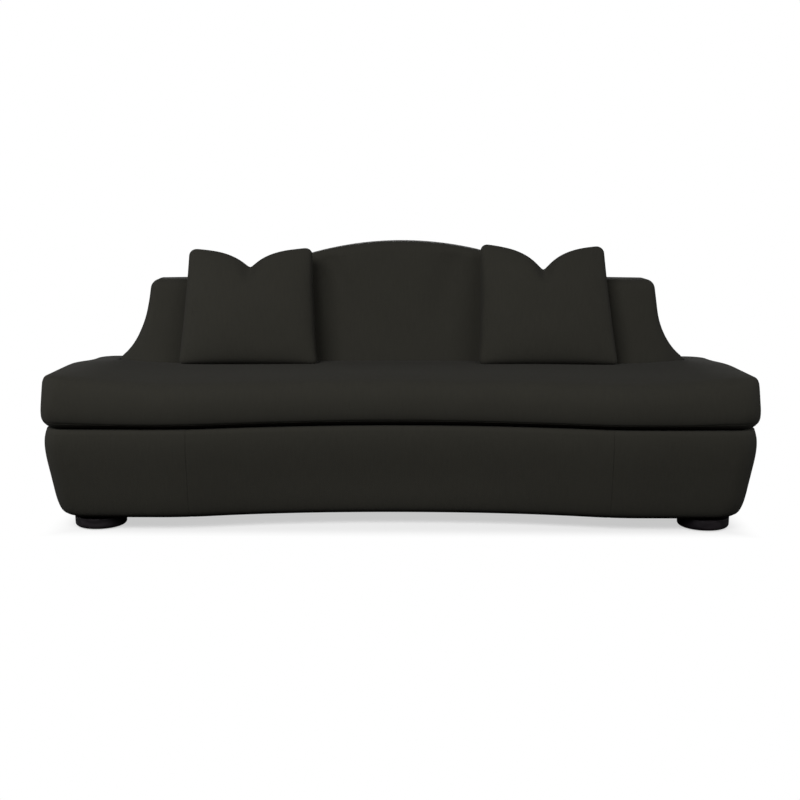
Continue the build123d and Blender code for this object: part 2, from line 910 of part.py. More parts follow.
def cushion_body(margin):
    """The crowned cushion with its ears beside the back, moved in by a margin."""
    with BuildPart() as body:
        add(plan_prism(margin, cushion_bottom + margin, cushion_top + overrun))
        add(crown_room(margin), mode=Mode.INTERSECT)
        fillet(body.faces().sort_by(Axis.Z)[-1].edges(), cushion_top_roll - margin)
        fillet(body.faces().sort_by(Axis.Z)[0].edges(), max(cushion_foot_roll - margin, cloth))
        grown = -soft_gap - margin
        behind = -back_rear_inset - overrun
        add(back_form(grown, grown, behind, rolled=False), mode=Mode.SUBTRACT)
    return body.part


groove_level = (lower_seam_level + upper_seam_level) / 2


def groove_layer(depth, half_length, height):
    """All that lies behind a depth in the cushion's rear face, within a band."""
    band = block(
        -half_length,
        half_length,
        -overall_depth,
        overall_depth,
        groove_level - height / 2,
        groove_level + height / 2,
    )
    return back_form(0, -soft_gap - depth, 0, rolled=False) & band


seat_groove = groove_layer(seat_zip_groove_depth, seat_zip_length / 2, seat_zip_groove_height)

with BuildPart() as seat_cloth:
    add(cushion_body(0))
    add(cushion_body(cloth), mode=Mode.SUBTRACT)
    add(seat_groove, mode=Mode.SUBTRACT)

panel_bands = {
    "seat_cushion_bottom_panel": (0, lower_seam_level),
    "seat_cushion_boxing": (lower_seam_level, upper_seam_level),
    "seat_cushion_top_panel": (upper_seam_level, overall_height),
}
for panel_name, (band_low, band_high) in panel_bands.items():
    with BuildPart() as seat_panel:
        add(seat_cloth.part)
        add(
            block(
                -overall_width, overall_width, -overall_depth, overall_depth, band_low, band_high
            ),
            mode=Mode.INTERSECT,
        )
    save(seat_panel.part, panel_name)

wrap_margin = cloth + soft_gap
core_margin = wrap_margin + fibre_wrap
with BuildPart() as seat_cushion_wrap:
    add(cushion_body(wrap_margin))
    add(cushion_body(core_margin), mode=Mode.SUBTRACT)
    add(seat_groove, mode=Mode.SUBTRACT)
save(seat_cushion_wrap.part, "seat_cushion_wrap")

with BuildPart() as seat_cushion_core:
    add(cushion_body(core_margin + soft_gap))
save(seat_cushion_core.part, "seat_cushion_core")

# The seat cushion's zip, along the middle of its rear boxing

tape_front = seat_zip_groove_depth - fit_gap
tape_rear = tape_front - zip_tape
tape_half_length = seat_zip_length / 2 - fit_gap
tape_height = seat_zip_groove_height - 2 * fit_gap
with BuildPart() as seat_zip_chain:
    add(groove_layer(tape_front, tape_half_length, tape_height))
    add(groove_layer(tape_rear, overall_width, seat_zip_groove_height), mode=Mode.SUBTRACT)
save(seat_zip_chain.part, "seat_zip_chain")

slider_front = tape_rear - fit_gap
slider_rear = slider_front - zip_slider_thickness
slider_height = tape_height - 2 * fit_gap
slider_zone = block(
    tape_half_length - zip_slider_length,
    tape_half_length,
    -overall_depth,
    overall_depth,
    0,
    overall_height,
)
pull_zone = block(
    tape_half_length - zip_pull_length,
    tape_half_length - zip_pull_thickness,
    -overall_depth,
    overall_depth,
    0,
    overall_height,
)
with BuildPart() as seat_zip_slider:
    add(groove_layer(slider_front, tape_half_length, slider_height) & slider_zone)
    add(groove_layer(slider_rear, overall_width, seat_zip_groove_height), mode=Mode.SUBTRACT)
    pull = groove_layer(slider_rear, tape_half_length, slider_height / 2) & pull_zone
    pull_rear = slider_rear - zip_pull_thickness
    add(pull - groove_layer(pull_rear, overall_width, seat_zip_groove_height))
save(seat_zip_slider.part, "seat_zip_slider")

zip_face_radius = (face_half_width**2 + face_sagitta**2) / (2 * face_sagitta)
zip_centre_y = front_line + face_setback + face_shift(groove_level) - zip_face_radius
print("seat zip centre y", zip_centre_y, "level", groove_level, "radius", zip_face_radius)

# Throw pillows


def pillow_origin(centre):
    """The middle of a pillow's bottom seam."""
    face_radius = zip_face_radius
    hollow = face_radius - math.sqrt(face_radius**2 - centre**2)
    face = front_line + face_setback + face_shift(cushion_top) - hollow
    return (centre, face - pillow_standoff, cushion_top + soft_gap)


lean_out = (0, -math.cos(math.radians(pillow_lean)), math.sin(math.radians(pillow_lean)))


def pillow_form(centre, margin):
    """A knife-edged pillow with its top chopped in, moved in by a margin."""
    origin = pillow_origin(centre)
    half_width = pillow_width / 2 - margin
    mirrored = [(-share, top, full) for share, top, full in reversed(pillow_section_shares[1:])]
    with BuildPart() as form:
        for share, top, full in mirrored + list(pillow_section_shares):
            x = origin[0] + share * half_width
            across = Plane(origin=(x, origin[1], origin[2]), x_dir=lean_out, z_dir=(-1, 0, 0))
            low, high = margin, top * pillow_height - margin
            half = full * pillow_thickness / 2 * (1 - 2 * margin / pillow_thickness)
            middle = (low + high) / 2
            with BuildSketch(across):
                with BuildLine():
                    ThreePointArc((0, low), (half, middle), (0, high))
                    ThreePointArc((0, high), (-half, middle), (0, low))
                make_face()
        loft()
        face_plane = Plane(origin=origin, x_dir=(1, 0, 0), z_dir=lean_out)
        side = pillow_width / 2 - margin
        with BuildSketch(face_plane):
            with BuildLine():
                drawn = side - pillow_side_draw
                high = pillow_height
                foot = pillow_foot_draw + margin
                ThreePointArc((-side, margin), (0, foot), (side, margin))
                ThreePointArc((side, margin), (drawn, high / 2), (side, high))
                Line((side, high), (-side, high))
                ThreePointArc((-side, high), (-drawn, high / 2), (-side, margin))
            make_face()
        extrude(amount=pillow_thickness, both=True, mode=Mode.INTERSECT)
    return form.part


def pillow_body(centre, margin):
    """A pillow, pressed flat where it rests against the back."""
    grown = -soft_gap - margin
    return pillow_form(centre, margin) - back_form(grown, grown, grown, rolled=False)


def pillow_band(centre, low, high, half_length, half_width, shift):
    """A box in a pillow's own frame, between two heights over its bottom seam."""
    frame = Plane(origin=pillow_origin(centre), x_dir=(1, 0, 0), z_dir=lean_out)
    size = (2 * half_length, high - low, 2 * half_width)
    return frame * Pos(shift, (low + high) / 2, 0) * Box(*size, mode=Mode.PRIVATE)


groove_top = pillow_foot_draw + pillow_zip_groove_depth
tape_top = groove_top - fit_gap
tape_low = tape_top - zip_tape
slider_top = tape_low - fit_gap
slider_low = slider_top - zip_slider_thickness
zip_half = pillow_zip_length / 2
groove_half = pillow_zip_groove_width / 2
for side_name, pillow_centre in (("left", left_pillow_centre), ("right", right_pillow_centre)):
    groove = pillow_band(
        pillow_centre, -overrun, groove_top, zip_half + fit_gap, groove_half, 0
    )
    with BuildPart() as pillow_cover:
        add(pillow_body(pillow_centre, 0))
        add(pillow_body(pillow_centre, cloth), mode=Mode.SUBTRACT)
        add(groove, mode=Mode.SUBTRACT)
    save(pillow_cover.part, f"{side_name}_pillow_cover")

    with BuildPart() as pillow_fill:
        add(pillow_body(pillow_centre, cloth + soft_gap))
        add(groove, mode=Mode.SUBTRACT)
    save(pillow_fill.part, f"{side_name}_pillow_fill")

    with BuildPart() as pillow_zip_chain:
        tape_half = groove_half - fit_gap
        add(pillow_band(pillow_centre, tape_low, tape_top, zip_half, tape_half, 0))
    save(pillow_zip_chain.part, f"{side_name}_pillow_zip_chain")

    with BuildPart() as pillow_zip_slider:
        slider_half = zip_slider_length / 2
        slider_shift = zip_half - slider_half
        slider_width = groove_half - 2 * fit_gap
        add(
            pillow_band(
                pillow_centre, slider_low, slider_top, slider_half, slider_width, slider_shift
            )
        )
        pull_low = slider_low - zip_pull_thickness
        pull_half = zip_pull_length / 2
        add(
            pillow_band(
                pillow_centre, pull_low, slider_low, pull_half, slider_width / 2, zip_half - pull_half
            )
        )
    save(pillow_zip_slider.part, f"{side_name}_pillow_zip_slider")
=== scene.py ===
import math

import bmesh
import bpy
from mathutils import Matrix, Vector, noise
from mathutils.kdtree import KDTree


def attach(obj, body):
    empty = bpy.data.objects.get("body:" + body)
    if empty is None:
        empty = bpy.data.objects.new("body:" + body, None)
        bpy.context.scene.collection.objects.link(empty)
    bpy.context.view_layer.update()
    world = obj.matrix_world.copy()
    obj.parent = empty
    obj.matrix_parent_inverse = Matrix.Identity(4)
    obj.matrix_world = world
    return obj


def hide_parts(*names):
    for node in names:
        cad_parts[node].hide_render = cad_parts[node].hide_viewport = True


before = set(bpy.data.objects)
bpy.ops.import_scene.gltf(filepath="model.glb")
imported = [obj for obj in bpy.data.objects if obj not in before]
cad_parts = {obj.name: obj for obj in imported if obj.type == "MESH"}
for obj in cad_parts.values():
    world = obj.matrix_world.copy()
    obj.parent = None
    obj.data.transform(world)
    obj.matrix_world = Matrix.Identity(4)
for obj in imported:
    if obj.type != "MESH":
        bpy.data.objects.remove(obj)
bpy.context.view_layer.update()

# A 90 inch camel-back sofa in one charcoal cloth. Metres, +Z up, front to -Y.
# The plan and the camel outline repeat the source's driving sizes.
# A pair named fade gives where something begins and how far it reaches.

# How near points are that become one
merge_gap = 0.0001
mirror_gap = 0.0002
cut_gap = 0.0004

# Seat and base plan
half_width = 1.143
front_line = -0.4825
rear_line = 0.4925
front_dip = 0.084
dip_half_width = 0.780
dip_arc_share = 0.763
front_corner_radius = 0.080
rear_corner_radius = 0.090
rear_bow_radius = 3.210

# Base
base_bottom = 0.039
base_top = 0.337
base_inset = 0.005
base_profile = (
    (0, 0.085),
    (0.015, 0.064),
    (0.05, 0.044),
    (0.10, 0.034),
    (0.19, 0.026),
    (0.28, 0.021),
    (0.37, 0.017),
    (0.47, 0.0125),
    (0.56, 0.0085),
    (0.65, 0.0045),
    (0.74, 0.0015),
    (0.83, 0.0002),
    (0.92, 0.0020),
    (1, 0.0080),
)
base_bow_ease = 0.009
base_bow_fade = (0, 0.5)
base_levels = 30
base_level_power = 1.4
turn_under_lift = 0.0008
turn_under_inset = 0.131
turn_over_inset = 0.056
rear_turn_inset = 0.0365
rear_turn_reach = 0.08
front_seam_half = 0.675
rear_seam_half = 0.900
seam_offsets = (-0.014, -0.007, -0.003, 0, 0.003, 0.007, 0.014)
seam_draw = 0.0006
seam_reach = 0.008
cloth = 0.002

# Seat cushion, from its underside up: level, how far in from the plan at the
# front, and how far in at the ends and beside the back
cushion_section = (
    (0.3378, 0.0520, 0.0340),
    (0.3392, 0.0430, 0.0280),
    (0.3425, 0.0335, 0.0205),
    (0.3475, 0.0245, 0.0135),
    (0.3530, 0.0175, 0.0080),
    (0.3580, 0.0122, 0.0040),
    (0.3597, 0.0106, 0.0030),
    (0.3605, 0.0110, 0.0036),
    (0.3613, 0.0092, 0.0024),
    (0.3670, 0.0052, 0.0000),
    (0.3750, 0.0018, -0.0014),
    (0.3860, -0.0008, -0.0012),
    (0.3990, -0.0018, -0.0002),
    (0.4120, -0.0014, 0.0010),
    (0.4250, 0.0004, 0.0020),
    (0.4370, 0.0034, 0.0030),
    (0.4480, 0.0078, 0.0038),
    (0.4580, 0.0136, 0.0048),
    (0.4660, 0.0200, 0.0060),
    (0.4702, 0.0242, 0.0070),
    (0.4712, 0.0257, 0.0077),
    (0.4722, 0.0266, 0.0080),
    (0.4768, 0.0336, 0.0100),
    (0.4812, 0.0430, 0.0132),
    (0.4844, 0.0535, 0.0172),
    (0.4866, 0.0660, 0.0225),
)
corner_blend = 0.2
cushion_clearance = 0.0025
cushion_side_draw = 0.004
cushion_top_round = 0.010
cushion_round_share = 0.7
cushion_wing_share = 0.6
cushion_rim = 0.009
cushion_cap_step = 0.030

# The cushion's lower front edge hangs by a droop, less in its middle
edge_droop = 0.006
droop_middle = 0.55
droop_middle_fade = (0, 0.5)
droop_end_fade = (0.85, 0.25)
droop_level_fade = (0.352, 0.075)
droop_inset_fade = (0.008, 0.016)

# Its top: an uneven crown, ends that rise and a sag beside the back
cushion_soft_level = 0.40
cushion_unevenness = 0.0016
crown_rise = 0.0055
crown_reach = 0.110
end_rise = {-1: 0.023, 1: 0.019}
end_rise_fade = (0.74, 0.38)
end_fall = 1.1
end_fall_fade = (-0.16, 0.42)
rear_sag = 0.0030
rear_sag_fade = (-0.10, 0.20)
rear_sag_place = 0.70
rear_sag_width = 0.20

# Its ends, which run past the back
ear_rear = 0.314
ear_corner = 0.083
ear_inner_corner = 0.016
ear_least_corner = 0.002

# Back
back_top = 0.908
shoulder_level = 0.774
arch_radius = 1.280
hump_half_width = 0.620
shoulder_half_width = 0.921
shoulder_corner_radius = 0.036
shoulder_draw = 0.0075
shoulder_level_fade = (0.58, 0.14)
shoulder_side_fade = (-0.80, -0.10)
end_lean = 6
end_line_length = 0.080
flare_radius = 0.240
flare_turn = 46
tuck_radius = 0.042
least_tuck = 0.001
back_bottom = 0.3366
front_roll = 0.034
rear_roll = 0.020
roll_steps = 8
body_steps = 6
rear_seam_draw = 0.0026
rear_seam_depth = 0.022
rear_seam_near = 0.0022
rear_inset = 0.0364
face_line = 0.1475
face_level = 0.490
face_rake = math.tan(math.radians(16))
face_sagitta = 0.060
face_half_width = 0.800
face_radius = (face_half_width**2 + face_sagitta**2) / (2 * face_sagitta)
wing_radius = 0.230
wing_turn = 40
back_cap_step = 0.028
back_unevenness = 0.0016

# Hollows in the face: place at the hollow level, slant, width and depth
hollow_level = 0.55
face_hollows = ((-0.158, -0.38, 0.046, 0.0230), (0.118, 0.26, 0.052, 0.0170))
hollow_low_fade = (0.50, 0.26)
hollow_high_fade = (0.895, -0.06)

# Throw pillows: centre, height, depth of the chop, how far the top goes sideways
# and how far its right corner rises as its left one falls
pillow_places = {
    "left": (-0.5367, 0.438, 0.077, -0.004, 0.002),
    "right": (0.517, 0.452, 0.100, -0.012, -0.004),
}
pillow_foot_width = 0.486
pillow_top_width = 0.442
pillow_thickness = 0.150
pillow_edge = 0.0022
pillow_waist_share = 0.014
pillow_dome_power = 0.42
pillow_crease = (0.14, 0.30)
pillow_crease_fade = (0.05, 0.95)
pillow_slack = 0.07
chop_reach = 0.34
chop_round = 0.03
chop_fade = (-0.15, 1.15)
chop_power = 1.5
pillow_gap = 0.0035
pillow_corner = (0.075, 0.125)
pillow_lean = math.radians(23)
pillow_standoff = 0.116
pillow_base = 0.4868
pillow_cells = 60
pillow_sheet = 0.01

# Front feet
foot_places = {"left": (-0.984, -0.337), "right": (0.993, -0.339)}
foot_radius = 0.086
foot_taper = 0.003
foot_round = (0.011, 0.003)
foot_tuck = 0.001
foot_flare = 0.0002
foot_merge_gap = 0.00002
glide_thickness = 0.003

# Camera: places in metres, pan in radians, tilt in degrees, lens in millimetres
camera_distance = 3.6825
camera_height = 1.0359
camera_side = 0.0349
camera_pan = 0.0091
camera_tilt = 9.197
camera_lens = 53.92

# Floor and surround. Each end of the floor: axis, where it turns white, and by where
floor_level = -0.0003
floor_half = 12
floor_dark = 0.03
floor_glow = 0.56
floor_white = 0.45
floor_ends = ((0, 1.02, 1.16), (1, 0.38, 0.50))
surround_light = 0.055

# Lamps: place, aim, size and power in watts
lamps = {
    "key": ((-1.9, -3.9, 3.3), (-0.1, -0.2, 0.40), (2.8, 1.8), 182),
    "fill": ((2.2, -4.0, 2.8), (0.1, -0.2, 0.40), (2.8, 1.8), 70),
    "rear": ((0, 4.2, 1.4), (0, 0.4, 0.45), (1.4, 1.4), 80),
    "side_left": ((-4.4, 0.2, 0.9), (-1.1, 0, 0.35), (1.2, 0.9), 34),
    "side_right": ((4.4, 0.2, 0.9), (1.1, 0, 0.35), (1.2, 0.9), 24),
}


# ---------------------------------------------------------------- materials


def node_group(name, inputs, outputs):
    """An empty shader group with named inputs and outputs."""
    group = bpy.data.node_groups.new(name, "ShaderNodeTree")
    for label, kind, value in inputs:
        made = group.interface.new_socket(label, in_out="INPUT", socket_type=kind)
        made.default_value = value
    for label, kind in outputs:
        group.interface.new_socket(label, in_out="OUTPUT", socket_type=kind)
    return group


def put(tree, kind, **values):
    """One node with its properties and its named inputs set."""
    made = tree.nodes.new(kind)
    for name, value in values.items():
        if name in made.inputs:
            made.inputs[name].default_value = value
        else:
            setattr(made, name, value)
    return made


def math_node(tree, operation, first, second=None):
    """A maths node over two links or numbers; gives its output."""
    made = put(tree, "ShaderNodeMath", operation=operation)
    for socket, value in zip(made.inputs, (first, second)):
        if value is None:
            continue
        if isinstance(value, (int, float)):
            socket.default_value = value
        else:
            tree.links.new(value, socket)
    return made.outputs[0]


def make_weave():
    """Plain woven cloth: threads both ways, slubs and a soft unevenness."""
    group = node_group(
        "plain_weave",
        [
            ("Vector", "NodeSocketVector", (0, 0, 0)),
            ("Threads per metre", "NodeSocketFloat", 620),
            ("Dark", "NodeSocketColor", (0, 0, 0, 1)),
            ("Light", "NodeSocketColor", (1, 1, 1, 1)),
        ],
        [("Color", "NodeSocketColor"), ("Height", "NodeSocketFloat"), ("Rough", "NodeSocketFloat")],
    )
    start = group.nodes.new("NodeGroupInput")
    end = group.nodes.new("NodeGroupOutput")
    parts = group.nodes.new("ShaderNodeSeparateXYZ")
    group.links.new(start.outputs["Vector"], parts.inputs[0])
    turn = math_node(group, "MULTIPLY", start.outputs["Threads per metre"], math.pi)
    warp = math_node(group, "SINE", math_node(group, "MULTIPLY", parts.outputs[0], turn))
    weft = math_node(group, "SINE", math_node(group, "MULTIPLY", parts.outputs[1], turn))
    over = math_node(group, "MULTIPLY", warp, weft)
    threads = math_node(group, "MULTIPLY_ADD", over, 0.5)
    group.nodes[-1].inputs[2].default_value = 0.5
    slub = put(group, "ShaderNodeTexNoise", Scale=160.0, Detail=3.0, Roughness=0.6)
    cloud = put(group, "ShaderNodeTexNoise", Scale=9.0, Detail=4.0, Roughness=0.55)
    stretch = put(group, "ShaderNodeMapping", Scale=(1.0, 0.12, 1.0))
    group.links.new(start.outputs["Vector"], stretch.inputs["Vector"])
    group.links.new(stretch.outputs["Vector"], slub.inputs["Vector"])
    group.links.new(start.outputs["Vector"], cloud.inputs["Vector"])
    fine = math_node(group, "MULTIPLY", threads, 0.45)
    uneven = math_node(group, "ADD", fine, math_node(group, "MULTIPLY", slub.outputs[0], 0.45))
    tone = math_node(group, "ADD", uneven, math_node(group, "MULTIPLY", cloud.outputs[0], 0.25))
    blend = put(group, "ShaderNodeMix", data_type="RGBA")
    group.links.new(tone, blend.inputs["Factor"])
    group.links.new(start.outputs["Dark"], blend.inputs[6])
    group.links.new(start.outputs["Light"], blend.inputs[7])
    group.links.new(blend.outputs[2], end.inputs["Color"])
    height = math_node(group, "ADD", threads, math_node(group, "MULTIPLY", slub.outputs[0], 0.5))
    group.links.new(height, end.inputs["Height"])
    rough = put(group, "ShaderNodeMapRange")
    rough.inputs["To Min"].default_value = 0.84
    rough.inputs["To Max"].default_value = 0.98
    group.links.new(tone, rough.inputs["Value"])
    group.links.new(rough.outputs[0], end.inputs["Rough"])
    return group


def make_grain():
    """Wood grain along X: rings stretched into streaks, with fine pores."""
    group = node_group(
        "wood_grain",
        [
            ("Vector", "NodeSocketVector", (0, 0, 0)),
            ("Ring scale", "NodeSocketFloat", 6),
            ("Dark", "NodeSocketColor", (0, 0, 0, 1)),
            ("Light", "NodeSocketColor", (1, 1, 1, 1)),
        ],
        [("Color", "NodeSocketColor"), ("Height", "NodeSocketFloat"), ("Rough", "NodeSocketFloat")],
    )
    start = group.nodes.new("NodeGroupInput")
    end = group.nodes.new("NodeGroupOutput")
    stretch = put(group, "ShaderNodeMapping", Scale=(0.09, 1.0, 1.0))
    group.links.new(start.outputs["Vector"], stretch.inputs["Vector"])
    rings = put(group, "ShaderNodeTexWave", Distortion=7.0, Detail=3.0)
    rings.inputs["Detail Scale"].default_value = 1.6
    group.links.new(stretch.outputs["Vector"], rings.inputs["Vector"])
    group.links.new(start.outputs["Ring scale"], rings.inputs["Scale"])
    pores = put(group, "ShaderNodeTexNoise", Scale=340.0, Detail=2.0, Roughness=0.6)
    group.links.new(stretch.outputs["Vector"], pores.inputs["Vector"])
    tone = math_node(group, "MULTIPLY_ADD", rings.outputs["Fac"], 0.65)
    group.links.new(math_node(group, "MULTIPLY", pores.outputs[0], 0.4), group.nodes[-2].inputs[2])
    blend = put(group, "ShaderNodeMix", data_type="RGBA")
    group.links.new(tone, blend.inputs["Factor"])
    group.links.new(start.outputs["Dark"], blend.inputs[6])
    group.links.new(start.outputs["Light"], blend.inputs[7])
    group.links.new(blend.outputs[2], end.inputs["Color"])
    group.links.new(pores.outputs[0], end.inputs["Height"])
    rough = put(group, "ShaderNodeMapRange")
    rough.inputs["To Min"].default_value = 0.36
    rough.inputs["To Max"].default_value = 0.62
    group.links.new(tone, rough.inputs["Value"])
    group.links.new(rough.outputs[0], end.inputs["Rough"])
    return group


def make_speckle():
    """Foam, felt, fibre or metal: a fine speckle and broad mottling."""
    group = node_group(
        "speckle",
        [
            ("Vector", "NodeSocketVector", (0, 0, 0)),
            ("Cells per metre", "NodeSocketFloat", 600),
            ("Dark", "NodeSocketColor", (0, 0, 0, 1)),
            ("Light", "NodeSocketColor", (1, 1, 1, 1)),
            ("Rough low", "NodeSocketFloat", 0.7),
            ("Rough high", "NodeSocketFloat", 0.95),
        ],
        [("Color", "NodeSocketColor"), ("Height", "NodeSocketFloat"), ("Rough", "NodeSocketFloat")],
    )
    start = group.nodes.new("NodeGroupInput")
    end = group.nodes.new("NodeGroupOutput")
    cells = put(group, "ShaderNodeTexNoise", Detail=3.0, Roughness=0.65)
    mottle = put(group, "ShaderNodeTexNoise", Scale=14.0, Detail=3.0, Roughness=0.5)
    for texture in (cells, mottle):
        group.links.new(start.outputs["Vector"], texture.inputs["Vector"])
    group.links.new(start.outputs["Cells per metre"], cells.inputs["Scale"])
    tone = math_node(
        group,
        "ADD",
        math_node(group, "MULTIPLY", cells.outputs[0], 0.6),
        math_node(group, "MULTIPLY", mottle.outputs[0], 0.4),
    )
    blend = put(group, "ShaderNodeMix", data_type="RGBA")
    group.links.new(tone, blend.inputs["Factor"])
    group.links.new(start.outputs["Dark"], blend.inputs[6])
    group.links.new(start.outputs["Light"], blend.inputs[7])
    group.links.new(blend.outputs[2], end.inputs["Color"])
    group.links.new(cells.outputs[0], end.inputs["Height"])
    rough = put(group, "ShaderNodeMapRange")
    group.links.new(tone, rough.inputs["Value"])
    group.links.new(start.outputs["Rough low"], rough.inputs["To Min"])
    group.links.new(start.outputs["Rough high"], rough.inputs["To Max"])
    group.links.new(rough.outputs[0], end.inputs["Rough"])
    return group


weave_group = make_weave()
grain_group = make_grain()
speckle_group = make_speckle()


def finish(name, group, dark, light, depth, coordinate="Object", metallic=0.0, turn=(0, 0, 0), **values):
    """A material whose colour, roughness and relief come from one group."""
    made = bpy.data.materials.new(name)
    made.use_nodes = True
    tree = made.node_tree
    shader = tree.nodes["Principled BSDF"]
    where = tree.nodes.new("ShaderNodeTexCoord")
    place = put(tree, "ShaderNodeMapping", Rotation=turn)
    pattern = tree.nodes.new("ShaderNodeGroup")
    pattern.node_tree = group
    pattern.inputs["Dark"].default_value = (*dark, 1)
    pattern.inputs["Light"].default_value = (*light, 1)
    for label, value in values.items():
        socket = label.replace("_", " ")
        if socket in pattern.inputs:
            pattern.inputs[socket].default_value = value
        else:
            shader.inputs[socket].default_value = value
    bump = put(tree, "ShaderNodeBump", Strength=1.0, Distance=depth)
    shader.inputs["Metallic"].default_value = metallic
    tree.links.new(where.outputs[coordinate], place.inputs["Vector"])
    tree.links.new(place.outputs["Vector"], pattern.inputs["Vector"])
    tree.links.new(pattern.outputs["Color"], shader.inputs["Base Color"])
    tree.links.new(pattern.outputs["Rough"], shader.inputs["Roughness"])
    tree.links.new(pattern.outputs["Height"], bump.inputs["Height"])
    tree.links.new(bump.outputs["Normal"], shader.inputs["Normal"])
    return made


quarter = math.pi / 2
charcoal_cloth = finish(
    "charcoal_cloth",
    weave_group,
    (0.0208, 0.0199, 0.0162),
    (0.0334, 0.0320, 0.0261),
    0.00025,
    "UV",
    Sheen_Weight=0.02,
    Sheen_Roughness=0.6,
    Specular_IOR_Level=0.06,
)
deck_twill = finish(
    "deck_twill", weave_group, (0.018, 0.018, 0.017), (0.036, 0.036, 0.033), 0.0003, Threads_per_metre=420.0
)
dust_cloth = finish(
    "dust_cloth", speckle_group, (0.008, 0.008, 0.009), (0.022, 0.022, 0.023), 0.0001, Cells_per_metre=900.0
)
ebony_wood = finish(
    "ebony_wood",
    grain_group,
    (0.0026, 0.0015, 0.0028),
    (0.0088, 0.0052, 0.0080),
    0.00008,
    Ring_scale=26.0,
    Coat_Weight=0.12,
    Coat_Roughness=0.2,
)
rail_wood = finish("rail_wood", grain_group, (0.36, 0.23, 0.11), (0.62, 0.46, 0.27), 0.0002)
end_rail_wood = finish(
    "end_rail_wood", grain_group, (0.36, 0.23, 0.11), (0.62, 0.46, 0.27), 0.0002, turn=(0, 0, quarter)
)
plywood = finish("plywood", grain_group, (0.52, 0.37, 0.20), (0.74, 0.59, 0.38), 0.0001, Ring_scale=3.0)
rib_plywood = finish(
    "rib_plywood",
    grain_group,
    (0.50, 0.35, 0.19),
    (0.72, 0.57, 0.36),
    0.0001,
    turn=(0, quarter, 0),
    Ring_scale=4.0,
)
foam = finish("foam", speckle_group, (0.62, 0.56, 0.36), (0.86, 0.82, 0.64), 0.0006, Cells_per_metre=420.0)
fibre = finish(
    "fibre", speckle_group, (0.70, 0.70, 0.68), (0.92, 0.92, 0.90), 0.0012, Cells_per_metre=120.0
)
felt = finish("felt", speckle_group, (0.20, 0.18, 0.16), (0.44, 0.41, 0.36), 0.0004, Cells_per_metre=800.0)
strap_cloth = finish(
    "strap_cloth", weave_group, (0.035, 0.035, 0.040), (0.13, 0.13, 0.14), 0.0004, Threads_per_metre=260.0
)
spring_steel = finish(
    "spring_steel",
    speckle_group,
    (0.22, 0.22, 0.225),
    (0.50, 0.50, 0.51),
    0.00003,
    metallic=1.0,
    Cells_per_metre=500.0,
    Rough_low=0.28,
    Rough_high=0.5,
)
zip_metal = finish(
    "zip_metal",
    speckle_group,
    (0.05, 0.05, 0.05),
    (0.14, 0.14, 0.14),
    0.00003,
    metallic=1.0,
    Cells_per_metre=700.0,
    Rough_low=0.3,
    Rough_high=0.5,
)
zip_tape = finish(
    "zip_tape", weave_group, (0.010, 0.010, 0.010), (0.024, 0.024, 0.023), 0.0002, Threads_per_metre=900.0
)
glide_plastic = finish(
    "glide_plastic",
    speckle_group,
    (0.030, 0.030, 0.030),
    (0.055, 0.055, 0.055),
    0.00005,
    Cells_per_metre=300.0,
    Rough_low=0.4,
    Rough_high=0.6,
)

node_finishes = {
    "foot_front_left": ebony_wood,
    "foot_front_right": ebony_wood,
    "foot_rear_left": ebony_wood,
    "foot_rear_right": ebony_wood,
    "foot_glides": glide_plastic,
    "foot_bolts": spring_steel,
    "seat_springs": spring_steel,
    "spring_clips": spring_steel,
    "spring_tie_wires": spring_steel,
    "left_end_rail": end_rail_wood,
    "right_end_rail": end_rail_wood,
    "cross_stretchers": end_rail_wood,
    "front_rail": rail_wood,
    "rear_rail": rail_wood,
    "rear_beam": rail_wood,
    "corner_blocks": rail_wood,
    "back_top_rail": rail_wood,
    "back_bottom_rail": rail_wood,
    "deck_board": plywood,
    "base_formers": rib_plywood,
    "back_outside_board": rib_plywood,
    "base_padding": foam,
    "back_foam": foam,
    "back_roll_foam": foam,
    "deck_pad": foam,
    "seat_cushion_core": foam,
    "seat_cushion_wrap": fibre,
    "left_pillow_fill": fibre,
    "right_pillow_fill": fibre,
    "deck_felt": felt,
    "deck_cloth": deck_twill,
    "dust_cover": dust_cloth,
    "back_webbing": strap_cloth,
}
for node_name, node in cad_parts.items():
    chosen = node_finishes.get(node_name)
    if node_name.startswith("back_rib"):
        chosen = rib_plywood
    elif node_name.endswith("zip_chain"):
        chosen = zip_tape
    elif node_name.endswith("zip_slider"):
        chosen = zip_metal
    node.data.materials.clear()
    node.data.materials.append(chosen or charcoal_cloth)


# ------------------------------------------------------------- mesh helpers


def turned(centre, radius, angle):
    """The point of a circle at an angle from +X, in degrees."""
    return (
        centre[0] + radius * math.cos(math.radians(angle)),
        centre[1] + radius * math.sin(math.radians(angle)),
    )


